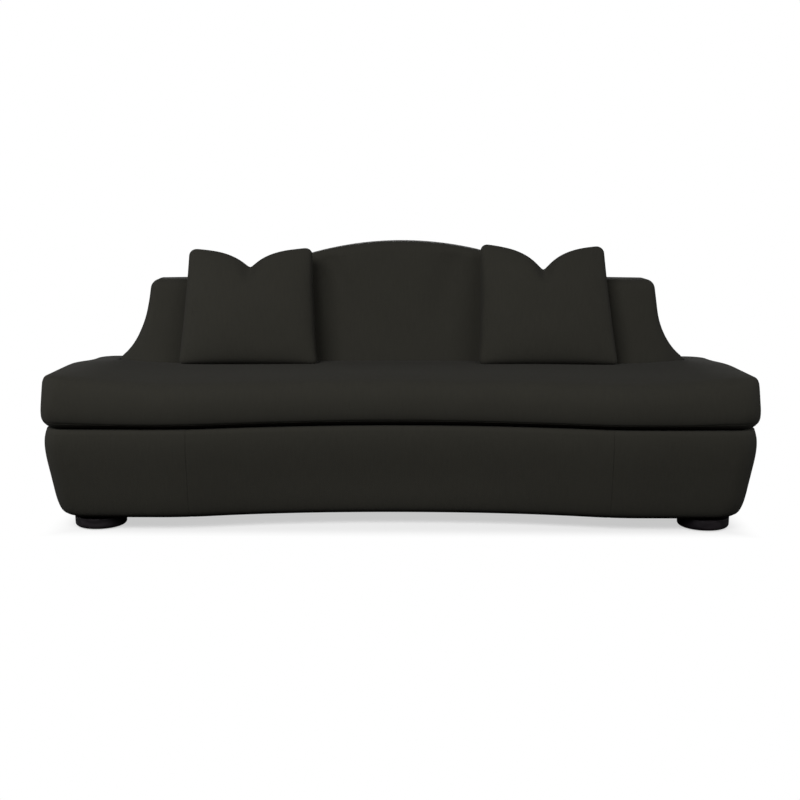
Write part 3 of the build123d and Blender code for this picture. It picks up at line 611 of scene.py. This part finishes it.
class Outline:
    """A chain of vertices that grows by arcs and straight runs in one plane."""

    def __init__(self, bm, start, upright=False):
        self.bm = bm
        self.upright = upright
        self.chain = [bm.verts.new(self.point(start))]

    def point(self, place):
        return Vector((place[0], 0, place[1])) if self.upright else Vector((place[0], place[1], 0))

    def arc(self, centre, angle, steps):
        """Carries the last vertex round a centre by an angle in degrees."""
        axis = (0, -1, 0) if self.upright else (0, 0, 1)
        for _ in range(steps):
            last = self.chain[-1]
            made = bmesh.ops.extrude_vert_indiv(self.bm, verts=[last])["verts"]
            turn = Matrix.Rotation(math.radians(angle) / steps, 3, axis)
            bmesh.ops.rotate(self.bm, verts=made, cent=self.point(centre), matrix=turn)
            self.chain.append(made[0])

    def run(self, goal, steps):
        """Carries the last vertex straight to a place."""
        step = (self.point(goal) - self.chain[-1].co) / steps
        for _ in range(steps):
            made = bmesh.ops.extrude_vert_indiv(self.bm, verts=[self.chain[-1]])["verts"]
            bmesh.ops.translate(self.bm, verts=made, vec=step)
            self.chain.append(made[0])


def front_half(outline, inset, corner):
    """The bowed front and its corner, from the middle to the end's side."""
    turn = 2 * math.degrees(math.atan2(front_dip, dip_half_width))
    both_radii = dip_half_width / math.sin(math.radians(turn))
    dip_radius = dip_arc_share * both_radii
    turn_radius = both_radii - dip_radius
    side = half_width - inset
    outline.arc((0, front_line + front_dip - dip_radius), -turn, 28)
    outline.arc((dip_half_width, front_line + turn_radius), turn, 10)
    corner_x = side - corner
    corner_y = front_line + inset + corner
    outline.run((corner_x, front_line + inset), 14)
    outline.arc((corner_x, corner_y), 90, 10)


def plan_half(bm, inset, level):
    """Half of the whole plan, moved in by an inset; gives its vertices."""
    outline = Outline(bm, (0, front_line + front_dip + inset))
    front_half(outline, inset, front_corner_radius)
    side = half_width - inset
    bow_centre = rear_line - rear_bow_radius
    rear_x = side - rear_corner_radius
    rear_y = bow_centre + math.sqrt((rear_bow_radius - inset - rear_corner_radius) ** 2 - rear_x**2)
    meet = math.degrees(math.atan2(rear_y - bow_centre, rear_x))
    outline.run((side, rear_y), 22)
    outline.arc((rear_x, rear_y), meet, 10)
    outline.arc((0, bow_centre), 90 - meet, 44)
    bmesh.ops.translate(bm, verts=outline.chain, vec=(0, 0, level))
    return outline.chain


def chain_edges(chain):
    """The edges along a chain of vertices."""
    return [
        edge
        for edge in {edge for vert in chain for edge in vert.link_edges}
        if edge.verts[0] in chain and edge.verts[1] in chain
    ]


def skin(bm, chains):
    """Faces between each chain and the next."""
    for lower, upper in zip(chains, chains[1:]):
        lower_edges = chain_edges(set(lower))
        upper_edges = chain_edges(set(upper))
        bmesh.ops.bridge_loops(bm, edges=lower_edges + upper_edges)


def both_halves(bm):
    """Mirrors the right half across the middle and joins the two."""
    geometry = bm.verts[:] + bm.edges[:] + bm.faces[:]
    bmesh.ops.mirror(bm, geom=geometry, axis="X", merge_dist=mirror_gap)
    bmesh.ops.remove_doubles(bm, verts=bm.verts[:], dist=merge_gap)


def close_open_rims(bm):
    """Caps every open rim; gives the new faces."""
    rims = [edge for edge in bm.edges if len(edge.link_faces) == 1]
    return bmesh.ops.holes_fill(bm, edges=rims, sides=0)["faces"]


def grid_cut(bm, faces, axis, step):
    """Cuts chosen faces at regular places along an axis."""
    lows = [min(vert.co[axis] for vert in face.verts) for face in faces]
    highs = [max(vert.co[axis] for vert in face.verts) for face in faces]
    normal = [0, 0, 0]
    normal[axis] = 1
    place = math.ceil(min(lows) / step) * step
    while place < max(highs):
        spot = [0, 0, 0]
        spot[axis] = place
        geometry = set(faces)
        for face in faces:
            geometry.update(face.edges)
            geometry.update(face.verts)
        geometry = list(geometry)
        cut = bmesh.ops.bisect_plane(bm, geom=geometry, dist=cut_gap, plane_co=spot, plane_no=normal)
        faces = [item for item in cut["geom"] if isinstance(item, bmesh.types.BMFace)]
        place += step
    return faces


def cloth_map(bm):
    """Lays cloth coordinates in metres on each face, along its own plane."""
    layer = bm.loops.layers.uv.verify()
    for face in bm.faces:
        normal = [abs(part) for part in face.normal]
        across, along = ((1, 2), (0, 2), (0, 1))[normal.index(max(normal))]
        for loop in face.loops:
            loop[layer].uv = (loop.vert.co[across], loop.vert.co[along])


def as_piece(bm, name, body, material, nodes=()):
    """Turns a bmesh into a piece that rides on a body."""
    bmesh.ops.recalc_face_normals(bm, faces=bm.faces[:])
    cloth_map(bm)
    mesh = bpy.data.meshes.new(name)
    bm.to_mesh(mesh)
    bm.free()
    for face in mesh.polygons:
        face.use_smooth = True
    piece = bpy.data.objects.new(name, mesh)
    bpy.context.scene.collection.objects.link(piece)
    mesh.materials.append(material)
    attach(piece, body)
    if nodes:
        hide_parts(*nodes)
    return piece


def smooth_share(value):
    """Eases a share between 0 and 1."""
    value = max(0.0, min(1.0, value))
    return value * value * (3 - 2 * value)


def ease(value, start, reach):
    """Eases from 0 at a start to 1 a reach further on."""
    return smooth_share((value - start) / reach)


# --------------------------------------------------------------- base cover


def base_far(high):
    """How far in the base stands at a share of its height, on a smooth line."""
    for index, (low_high, low_far) in enumerate(base_profile[:-1]):
        next_high, next_far = base_profile[index + 1]
        if high <= next_high:
            before = base_profile[max(index - 1, 0)]
            after = base_profile[min(index + 2, len(base_profile) - 1)]
            span = next_high - low_high
            rise_in = (next_far - before[1]) / (next_high - before[0]) * span
            rise_out = (after[1] - low_far) / (after[0] - low_high) * span
            share = (high - low_high) / span
            square, cube = share**2, share**3
            return (
                (2 * cube - 3 * square + 1) * low_far
                + (cube - 2 * square + share) * rise_in
                + (3 * square - 2 * cube) * next_far
                + (cube - square) * rise_out
            )
    return base_profile[-1][1]


def base_shell():
    """The whole base cover as one open skin, before it is cut into panels."""
    bm = bmesh.new()
    chains = [plan_half(bm, turn_under_inset, base_bottom + turn_under_lift)]
    for step in range(base_levels + 1):
        high = (step / base_levels) ** base_level_power
        chain = plan_half(bm, base_inset + base_far(high), base_bottom + high * (base_top - base_bottom))
        for vert in chain:
            if vert.co.y < 0:
                middle = 1 - smooth_share(vert.co.x / front_seam_half)
                vert.co.y -= base_bow_ease * middle * (1 - ease(high, *base_bow_fade))
        chains.append(chain)
    flange = plan_half(bm, turn_over_inset, base_top)
    shallow = plan_half(bm, rear_turn_inset, base_top)
    for deep, near in zip(flange, shallow):
        if near.co.y > 0 and near.co.x < half_width - 2 * rear_corner_radius + rear_turn_reach:
            deep.co = near.co
    bmesh.ops.delete(bm, geom=shallow, context="VERTS")
    chains.append(flange)
    skin(bm, chains)
    both_halves(bm)
    return bm


def base_seam_distance(place):
    """How far a place on the base cover lies from its panel's sewn edge."""
    seam = front_seam_half if place.y < 0 else rear_seam_half
    return abs(abs(place.x) - seam)


def base_panels():
    """Sews the base cover from a front, a rear and two end panels."""
    shell = base_shell()
    for seam in (front_seam_half, rear_seam_half):
        for offset in seam_offsets:
            for side in (-1, 1):
                geometry = shell.verts[:] + shell.edges[:] + shell.faces[:]
                spot = (side * (seam + offset), 0, 0)
                bmesh.ops.bisect_plane(
                    shell, geom=geometry, dist=merge_gap, plane_co=spot, plane_no=(1, 0, 0)
                )
    bmesh.ops.recalc_face_normals(shell, faces=shell.faces[:])
    for vert in shell.verts:
        near = base_seam_distance(vert.co)
        if near < seam_offsets[-1]:
            vert.co -= vert.normal * seam_draw * (1 - smooth_share(near / seam_reach))
    kept = {
        "base_cover_front": lambda spot: spot.y < 0 and abs(spot.x) < front_seam_half,
        "base_cover_rear": lambda spot: spot.y >= 0 and abs(spot.x) < rear_seam_half,
        "base_cover_left": lambda spot: spot.x < -(front_seam_half if spot.y < 0 else rear_seam_half),
        "base_cover_right": lambda spot: spot.x > (front_seam_half if spot.y < 0 else rear_seam_half),
    }
    for name, keep in kept.items():
        panel = shell.copy()
        spare = [face for face in panel.faces if not keep(face.calc_center_median())]
        bmesh.ops.delete(panel, geom=spare, context="FACES")
        bmesh.ops.solidify(panel, geom=panel.faces[:], thickness=cloth)
        nodes = (name, "base_padding") if name.endswith("front") else (name,)
        as_piece(panel, name, "frame", charcoal_cloth, nodes)
    shell.free()


base_panels()


# ------------------------------------------------------------- seat cushion


def cushion_half(bm, inset, close, level):
    """Half of the cushion's outline at a level: front, ear and hollow rear."""
    outline = Outline(bm, (0, front_line + front_dip + inset))
    front_half(outline, inset, front_corner_radius - max(inset, 0))
    for vert in outline.chain:
        turned_back = ease(vert.co.y, front_line, front_corner_radius)
        if vert.co.x > dip_half_width:
            vert.co.x += (inset - close) * turned_back * ease(vert.co.x, dip_half_width, corner_blend)
    outline.run((half_width - close, ear_rear - ear_corner), 18)
    outline.arc((half_width - ear_corner, ear_rear - ear_corner), 90, 9)
    rounded = cushion_round_share * max(close - cushion_top_round, 0)
    hold = cushion_wing_share * (cushion_clearance + min(close, cushion_side_draw) + rounded)
    ear_side = back_side(level) + hold
    inner = max(ear_inner_corner - close, ear_least_corner)
    outline.run((ear_side + inner, ear_rear - close), 2)
    outline.arc((ear_side + inner, ear_rear - close - inner), 90, 4)
    middle = face_line + (level - face_level) * face_rake
    bend = math.degrees(math.asin(face_half_width / face_radius))
    face_centre = (0, middle - face_radius)
    wing_centre = turned(turned(face_centre, face_radius, 90 - bend), wing_radius, 90 - bend)
    wing_end = turned(wing_centre, wing_radius + hold, 270 + wing_turn)
    slope = math.tan(math.radians(wing_turn))
    outline.run((ear_side, wing_end[1] + (ear_side - wing_end[0]) * slope), 6)
    outline.run(wing_end, 3)
    outline.arc(wing_centre, -(wing_turn + bend), 12)
    outline.arc(face_centre, bend, 36)
    for vert in outline.chain:
        vert.co.z = level - cushion_droop(vert.co, inset, level)
    return outline.chain


def cushion_droop(place, inset, level):
    """How far the cushion's lower front edge hangs below the base's top."""
    if place.y > front_line + 2 * front_dip + inset:
        return 0.0
    across = abs(place.x)
    along = droop_middle + (1 - droop_middle) * ease(across, *droop_middle_fade)
    along -= ease(across, *droop_end_fade)
    low = 1 - ease(level, *droop_level_fade)
    outside = 1 - ease(inset, *droop_inset_fade)
    return edge_droop * along * low * outside


def back_side(level):
    """How far out the back's end stands at a level near the seat."""
    corner = (shoulder_half_width - shoulder_corner_radius, shoulder_level - shoulder_corner_radius)
    end = turned(corner, shoulder_corner_radius, end_lean)
    lean = math.radians(end_lean)
    line_end = (end[0] + end_line_length * math.sin(lean), end[1] - end_line_length * math.cos(lean))
    flare_end = turned(turned(line_end, flare_radius, end_lean), flare_radius, 180 + end_lean + flare_turn)
    tuck_centre = turned(flare_end, tuck_radius, 180 + end_lean + flare_turn)
    if level < tuck_centre[1]:
        return tuck_centre[0] + tuck_radius
    return tuck_centre[0] + math.sqrt(max(tuck_radius**2 - (level - tuck_centre[1]) ** 2, 0))


def make_cushion():
    """The long seat cushion: boxed, crowned and soft along its seams."""
    bm = bmesh.new()
    chains = [cushion_half(bm, inset, close, level) for level, inset, close in cushion_section]
    skin(bm, chains)
    both_halves(bm)
    top = cushion_section[-1][0]
    rim = [vert.co.copy() for vert in bm.verts if vert.is_boundary and vert.co.z > top - merge_gap]
    nearest = KDTree(len(rim))
    for index, spot in enumerate(rim):
        nearest.insert(spot, index)
    nearest.balance()
    for cap in close_open_rims(bm):
        bmesh.ops.inset_region(bm, faces=[cap], thickness=cushion_rim, use_even_offset=True)
        across = grid_cut(bm, [cap], 0, cushion_cap_step)
        grid_cut(bm, across, 1, cushion_cap_step)
    for vert in bm.verts:
        place = vert.co
        high = ease(place.z, cushion_soft_level, top - cushion_soft_level)
        if place.z > top - merge_gap:
            near = min(nearest.find(place)[2] / crown_reach, 1)
            place.z += crown_rise * (1 - (1 - near) ** 2)
        wander = noise.noise(Vector((place.x * 3.1, place.y * 3.1, 4.0)))
        outer = ease(abs(place.x), *end_rise_fade)
        falling = 1 - end_fall * ease(place.y, *end_fall_fade)
        rise = end_rise[-1 if place.x < 0 else 1] * outer * falling
        aside = (abs(place.x) - rear_sag_place) / rear_sag_width
        near_back = ease(place.y, *rear_sag_fade) * math.exp(-(aside**2))
        place.z += (cushion_unevenness * wander + rise - rear_sag * (1 + near_back)) * high
    nodes = (
        "seat_cushion_top_panel",
        "seat_cushion_boxing",
        "seat_cushion_bottom_panel",
        "seat_cushion_wrap",
        "seat_cushion_core",
    )
    piece = as_piece(bm, "seat_cushion", "seat_cushion", charcoal_cloth, nodes)


make_cushion()


# --------------------------------------------------------------------- back


def camel_half(bm, inset):
    """Half of the camel outline, moved in by an inset; gives its vertices."""
    turn = 2 * math.degrees(math.atan2(back_top - shoulder_level, hump_half_width))
    both_radii = hump_half_width / math.sin(math.radians(turn))
    sweep_radius = both_radii - arch_radius
    outline = Outline(bm, (0, back_top - inset), upright=True)
    outline.arc((0, back_top - arch_radius), -turn, 22)
    outline.arc((hump_half_width, shoulder_level + sweep_radius), turn, 10)
    corner_x = shoulder_half_width - shoulder_corner_radius
    corner_z = shoulder_level - shoulder_corner_radius
    outline.run((corner_x, shoulder_level - inset), 10)
    outline.arc((corner_x, corner_z), end_lean - 90, 9)
    lean = math.radians(end_lean)
    start = turned((corner_x, corner_z), shoulder_corner_radius - inset, end_lean)
    line_end = (start[0] + end_line_length * math.sin(lean), start[1] - end_line_length * math.cos(lean))
    outline.run(line_end, 5)
    flare_centre = turned(line_end, flare_radius + inset, end_lean)
    outline.arc(flare_centre, flare_turn, 12)
    flare_end = turned(flare_centre, flare_radius + inset, 180 + end_lean + flare_turn)
    tuck = max(tuck_radius - inset, least_tuck)
    tuck_centre = turned(flare_end, tuck, 180 + end_lean + flare_turn)
    outline.arc(tuck_centre, -(end_lean + flare_turn), 6)
    outline.run((tuck_centre[0] + tuck, back_bottom), 5)
    outline.run((0, back_bottom), 40)
    return outline.chain


def face_depth(x, level):
    """Where the raked hollow face and its wings lie at a place."""
    middle = face_line + (level - face_level) * face_rake
    bend = math.asin(face_half_width / face_radius)
    centre = middle - face_sagitta + wing_radius * math.cos(bend)
    across = abs(x)
    wing_x = face_half_width + wing_radius * math.sin(bend)
    wing_end = wing_x + wing_radius * math.sin(math.radians(wing_turn))
    if across <= face_half_width:
        return middle - face_radius + math.sqrt(face_radius**2 - across**2)
    if across <= wing_end:
        return centre - math.sqrt(wing_radius**2 - (across - wing_x) ** 2)
    start = centre - wing_radius * math.cos(math.radians(wing_turn))
    return start + (across - wing_end) * math.tan(math.radians(wing_turn))


def rear_depth(x):
    """Where the back's rear face lies at a place along it."""
    reach = rear_bow_radius - rear_inset
    return rear_line - rear_bow_radius + math.sqrt(reach**2 - x**2)


def face_softness(x, level):
    """The soft hollows and the slack of the cloth on the inside back."""
    along = ease(level, *hollow_low_fade) * ease(level, *hollow_high_fade)
    hollow = 0
    for place, slant, width, depth in face_hollows:
        across = (x - place - slant * (level - hollow_level)) / width
        hollow += depth * math.exp(-(across**2))
    return hollow * along + back_unevenness * noise.noise(Vector((x * 4.2, level * 3.0, 1.7)))


def make_back():
    """The tight back: inside cover with rolled edges, and an outside panel."""
    bm = bmesh.new()
    chains = []
    for step in range(roll_steps + 1):
        angle = quarter * step / roll_steps
        chain = camel_half(bm, front_roll * (1 - math.sin(angle)))
        for vert in chain:
            vert.co.y = face_depth(vert.co.x, vert.co.z) + front_roll * (1 - math.cos(angle))
        chains.append(chain)
    for step in range(1, body_steps + 1):
        chain = camel_half(bm, 0)
        for vert in chain:
            near = face_depth(vert.co.x, vert.co.z) + front_roll
            far = rear_depth(vert.co.x) - rear_seam_depth
            vert.co.y = near + (far - near) * step / body_steps
        chains.append(chain)
    drawn = camel_half(bm, rear_seam_draw)
    for vert in drawn:
        vert.co.y = rear_depth(vert.co.x) - rear_seam_depth + rear_seam_near
    chains.append(drawn)
    skin(bm, chains)
    both_halves(bm)
    caps = close_open_rims(bm)
    for cap in caps:
        across = grid_cut(bm, [cap], 0, back_cap_step)
        grid_cut(bm, across, 2, back_cap_step)
    for vert in bm.verts:
        x, level = vert.co.x, vert.co.z
        face = face_depth(x, level)
        depth = max(vert.co.y - face, 0)
        if depth < front_roll:
            vert.co.y = face + depth + face_softness(x, level) * (1 - depth / front_roll)
    for vert in bm.verts:
        drawn_in = ease(vert.co.z, *shoulder_level_fade) * ease(vert.co.x, *shoulder_side_fade)
        vert.co.x += shoulder_draw * drawn_in
    nodes = ("back_cover_inside", "back_foam", "back_roll_foam")
    piece = as_piece(bm, "back_inside", "frame", charcoal_cloth, nodes)

    bm = bmesh.new()
    chains = []
    drawn = camel_half(bm, rear_seam_draw)
    for vert in drawn:
        vert.co.y = rear_depth(vert.co.x) - rear_seam_depth + rear_seam_draw
    chains.append(drawn)
    for step in range(roll_steps + 1):
        angle = quarter * step / roll_steps
        chain = camel_half(bm, rear_roll * (1 - math.cos(angle)))
        for vert in chain:
            vert.co.y = rear_depth(vert.co.x) - rear_roll * (1 - math.sin(angle))
        chains.append(chain)
    skin(bm, chains)
    both_halves(bm)
    for cap in close_open_rims(bm):
        across = grid_cut(bm, [cap], 0, 2 * back_cap_step)
        grid_cut(bm, across, 2, 2 * back_cap_step)
    as_piece(bm, "back_outside", "frame", charcoal_cloth, ("back_cover_outside",))


make_back()


# ------------------------------------------------------------ throw pillows


def pillow_outline(across, up, height, chop):
    """A place on the pillow's square, taken to its drawn-in, chopped outline."""
    near = 1 - pillow_corner[1 if up > 0 else 0]
    beyond = Vector((abs(across) - near, abs(up) - near))
    if beyond.x > 0 and beyond.y > 0:
        beyond *= max(beyond) / beyond.length
        across = math.copysign(near + beyond.x, across)
        up = math.copysign(near + beyond.y, up)
    high = (up + 1) / 2
    width = pillow_foot_width + (pillow_top_width - pillow_foot_width) * high
    width *= 1 - pillow_waist_share * (1 - up**2)
    notch = math.exp(-(math.hypot(across, chop_round) - chop_round) / chop_reach)
    drop = chop * notch * ease(up, *chop_fade) ** chop_power
    return 0.5 * across * width, high * height - drop


def make_pillow(side, centre, height, chop, skew, tip):
    """One throw pillow: sewn square, chopped, leaned and pressed on the back."""
    bm = bmesh.new()
    bmesh.ops.create_grid(bm, x_segments=pillow_cells, y_segments=pillow_cells, size=1)
    bmesh.ops.solidify(bm, geom=bm.faces[:], thickness=pillow_sheet)
    middle = sum(vert.co.z for vert in bm.verts) / len(bm.verts)
    seat = face_depth(centre, pillow_base) - pillow_standoff
    for vert in bm.verts:
        across, up = (max(-1, min(1, part)) for part in vert.co.xy)
        way = 1 if vert.co.z > middle else -1
        dome = ((1 - across**2) * (1 - up**2)) ** pillow_dome_power
        crease_width, crease_depth = pillow_crease
        crease = math.exp(-((across / crease_width) ** 2)) * ease(up, *pillow_crease_fade)
        slack = noise.noise(Vector((across * 1.6 + 9 * centre, up * 1.6, way * 3.0)))
        full = dome * (1 - crease_depth * crease + pillow_slack * slack)
        flat, rise = pillow_outline(across, up, height, chop)
        flat += skew * rise / height
        rise += tip * across * rise / height
        out = way * (pillow_edge + 0.5 * pillow_thickness * full)
        depth = seat + rise * math.sin(pillow_lean) - out * math.cos(pillow_lean)
        level = pillow_base + rise * math.cos(pillow_lean) + out * math.sin(pillow_lean)
        place = Vector((centre + flat, depth, level))
        place.y = min(place.y, face_depth(place.x, place.z) - pillow_gap)
        place.z = max(place.z, pillow_base)
        vert.co = place
    piece = as_piece(
        bm,
        f"{side}_pillow",
        f"{side}_pillow",
        charcoal_cloth,
        (f"{side}_pillow_cover", f"{side}_pillow_fill"),
    )


for pillow_side, pillow_place in pillow_places.items():
    make_pillow(pillow_side, *pillow_place)


# --------------------------------------------------------------- front feet


def make_foot(side, place):
    """A turned disc foot, from its underside's middle out and up to its top."""
    bm = bmesh.new()
    outline = Outline(bm, (0, glide_thickness), upright=True)
    low, high = glide_thickness, base_bottom + foot_tuck
    round_low, round_high = foot_round
    outline.run((foot_radius - foot_taper - round_low, low), 4)
    outline.arc((foot_radius - foot_taper - round_low, low + round_low), 80, 8)
    outline.run((foot_radius - round_high + foot_flare, high - round_high), 5)
    outline.arc((foot_radius - round_high, high - round_high), 90, 6)
    outline.run((0, high), 4)
    edges = chain_edges(set(outline.chain))
    bmesh.ops.spin(
        bm,
        geom=outline.chain + edges,
        axis=(0, 0, 1),
        cent=(0, 0, 0),
        steps=96,
        angle=2 * math.pi,
    )
    bmesh.ops.remove_doubles(bm, verts=bm.verts[:], dist=foot_merge_gap)
    bmesh.ops.translate(bm, verts=bm.verts[:], vec=(*place, 0))
    name = f"foot_front_{side}"
    as_piece(bm, name, "frame", ebony_wood, (name,))


for foot_side, foot_place in foot_places.items():
    make_foot(foot_side, foot_place)


# ---------------------------------------------------- floor, light and view


def make_floor():
    """A white floor that shows white, and keeps only the sofa's shadow."""
    bm = bmesh.new()
    lowered = Matrix.Translation((0, 0, floor_level))
    bmesh.ops.create_grid(bm, x_segments=1, y_segments=1, size=floor_half, matrix=lowered)
    mesh = bpy.data.meshes.new("floor")
    bm.to_mesh(mesh)
    bm.free()
    floor = bpy.data.objects.new("floor", mesh)
    bpy.context.scene.collection.objects.link(floor)
    material = bpy.data.materials.new("white_floor")
    material.use_nodes = True
    tree = material.node_tree
    shader = tree.nodes["Principled BSDF"]
    shader.inputs["Base Color"].default_value = (floor_dark, floor_dark, floor_dark, 1)
    shader.inputs["Roughness"].default_value = 0.9
    shader.inputs["Specular IOR Level"].default_value = 0.0
    glow = put(tree, "ShaderNodeEmission", Color=(1, 1, 1, 1), Strength=floor_glow)
    plain = put(tree, "ShaderNodeEmission", Color=(1, 1, 1, 1), Strength=1.0)
    matt = put(tree, "ShaderNodeBsdfDiffuse", Color=(floor_white, floor_white, floor_white, 1))
    both = tree.nodes.new("ShaderNodeAddShader")
    far = tree.nodes.new("ShaderNodeMixShader")
    where = tree.nodes.new("ShaderNodeTexCoord")
    parts = tree.nodes.new("ShaderNodeSeparateXYZ")
    fades = []
    for axis, near, clear in floor_ends:
        fade = put(tree, "ShaderNodeMapRange", interpolation_type="SMOOTHSTEP")
        fade.inputs["From Min"].default_value = near
        fade.inputs["From Max"].default_value = clear
        tree.links.new(math_node(tree, "ABSOLUTE", parts.outputs[axis]), fade.inputs["Value"])
        fades.append(fade.outputs[0])
    pick = tree.nodes.new("ShaderNodeMixShader")
    path = tree.nodes.new("ShaderNodeLightPath")
    tree.links.new(matt.outputs[0], both.inputs[0])
    tree.links.new(glow.outputs[0], both.inputs[1])
    tree.links.new(path.outputs["Is Camera Ray"], pick.inputs[0])
    tree.links.new(shader.outputs[0], pick.inputs[1])
    tree.links.new(where.outputs["Object"], parts.inputs[0])
    tree.links.new(math_node(tree, "MAXIMUM", *fades), far.inputs[0])
    tree.links.new(both.outputs[0], far.inputs[1])
    tree.links.new(plain.outputs[0], far.inputs[2])
    tree.links.new(far.outputs[0], pick.inputs[2])
    tree.links.new(pick.outputs[0], tree.nodes["Material Output"].inputs[0])
    mesh.materials.append(material)


def make_world():
    """A soft white surround, plain white where the camera sees it."""
    world = bpy.data.worlds.new("studio")
    bpy.context.scene.world = world
    world.use_nodes = True
    tree = world.node_tree
    lit = tree.nodes["Background"]
    lit.inputs["Color"].default_value = (1, 1, 1, 1)
    lit.inputs["Strength"].default_value = surround_light
    plain = put(tree, "ShaderNodeBackground", Color=(1, 1, 1, 1), Strength=1.0)
    pick = tree.nodes.new("ShaderNodeMixShader")
    path = tree.nodes.new("ShaderNodeLightPath")
    tree.links.new(path.outputs["Is Camera Ray"], pick.inputs[0])
    tree.links.new(lit.outputs[0], pick.inputs[1])
    tree.links.new(plain.outputs[0], pick.inputs[2])
    tree.links.new(pick.outputs[0], tree.nodes["World Output"].inputs[0])


def make_lamp(name, place, aim, size, power):
    """A soft rectangular lamp aimed at a spot on the sofa."""
    lamp = bpy.data.lights.new(name, "AREA")
    lamp.shape = "RECTANGLE"
    lamp.size, lamp.size_y = size
    lamp.energy = power
    made = bpy.data.objects.new(name, lamp)
    bpy.context.scene.collection.objects.link(made)
    made.location = place
    made.rotation_euler = (Vector(aim) - Vector(place)).to_track_quat("-Z", "Y").to_euler()


def make_camera():
    """The photograph's view: square from the front and a little from above."""
    camera = bpy.data.cameras.new("camera")
    camera.lens = camera_lens
    camera.sensor_width = 36
    made = bpy.data.objects.new("camera", camera)
    bpy.context.scene.collection.objects.link(made)
    made.location = (camera_side, front_line - camera_distance, camera_height)
    made.rotation_euler = (math.radians(90 - camera_tilt), 0, camera_pan)
    bpy.context.scene.camera = made


make_floor()
make_world()
for lamp_name, lamp_values in lamps.items():
    make_lamp(lamp_name, *lamp_values)
make_camera()
bpy.context.scene.view_settings.view_transform = "Standard"
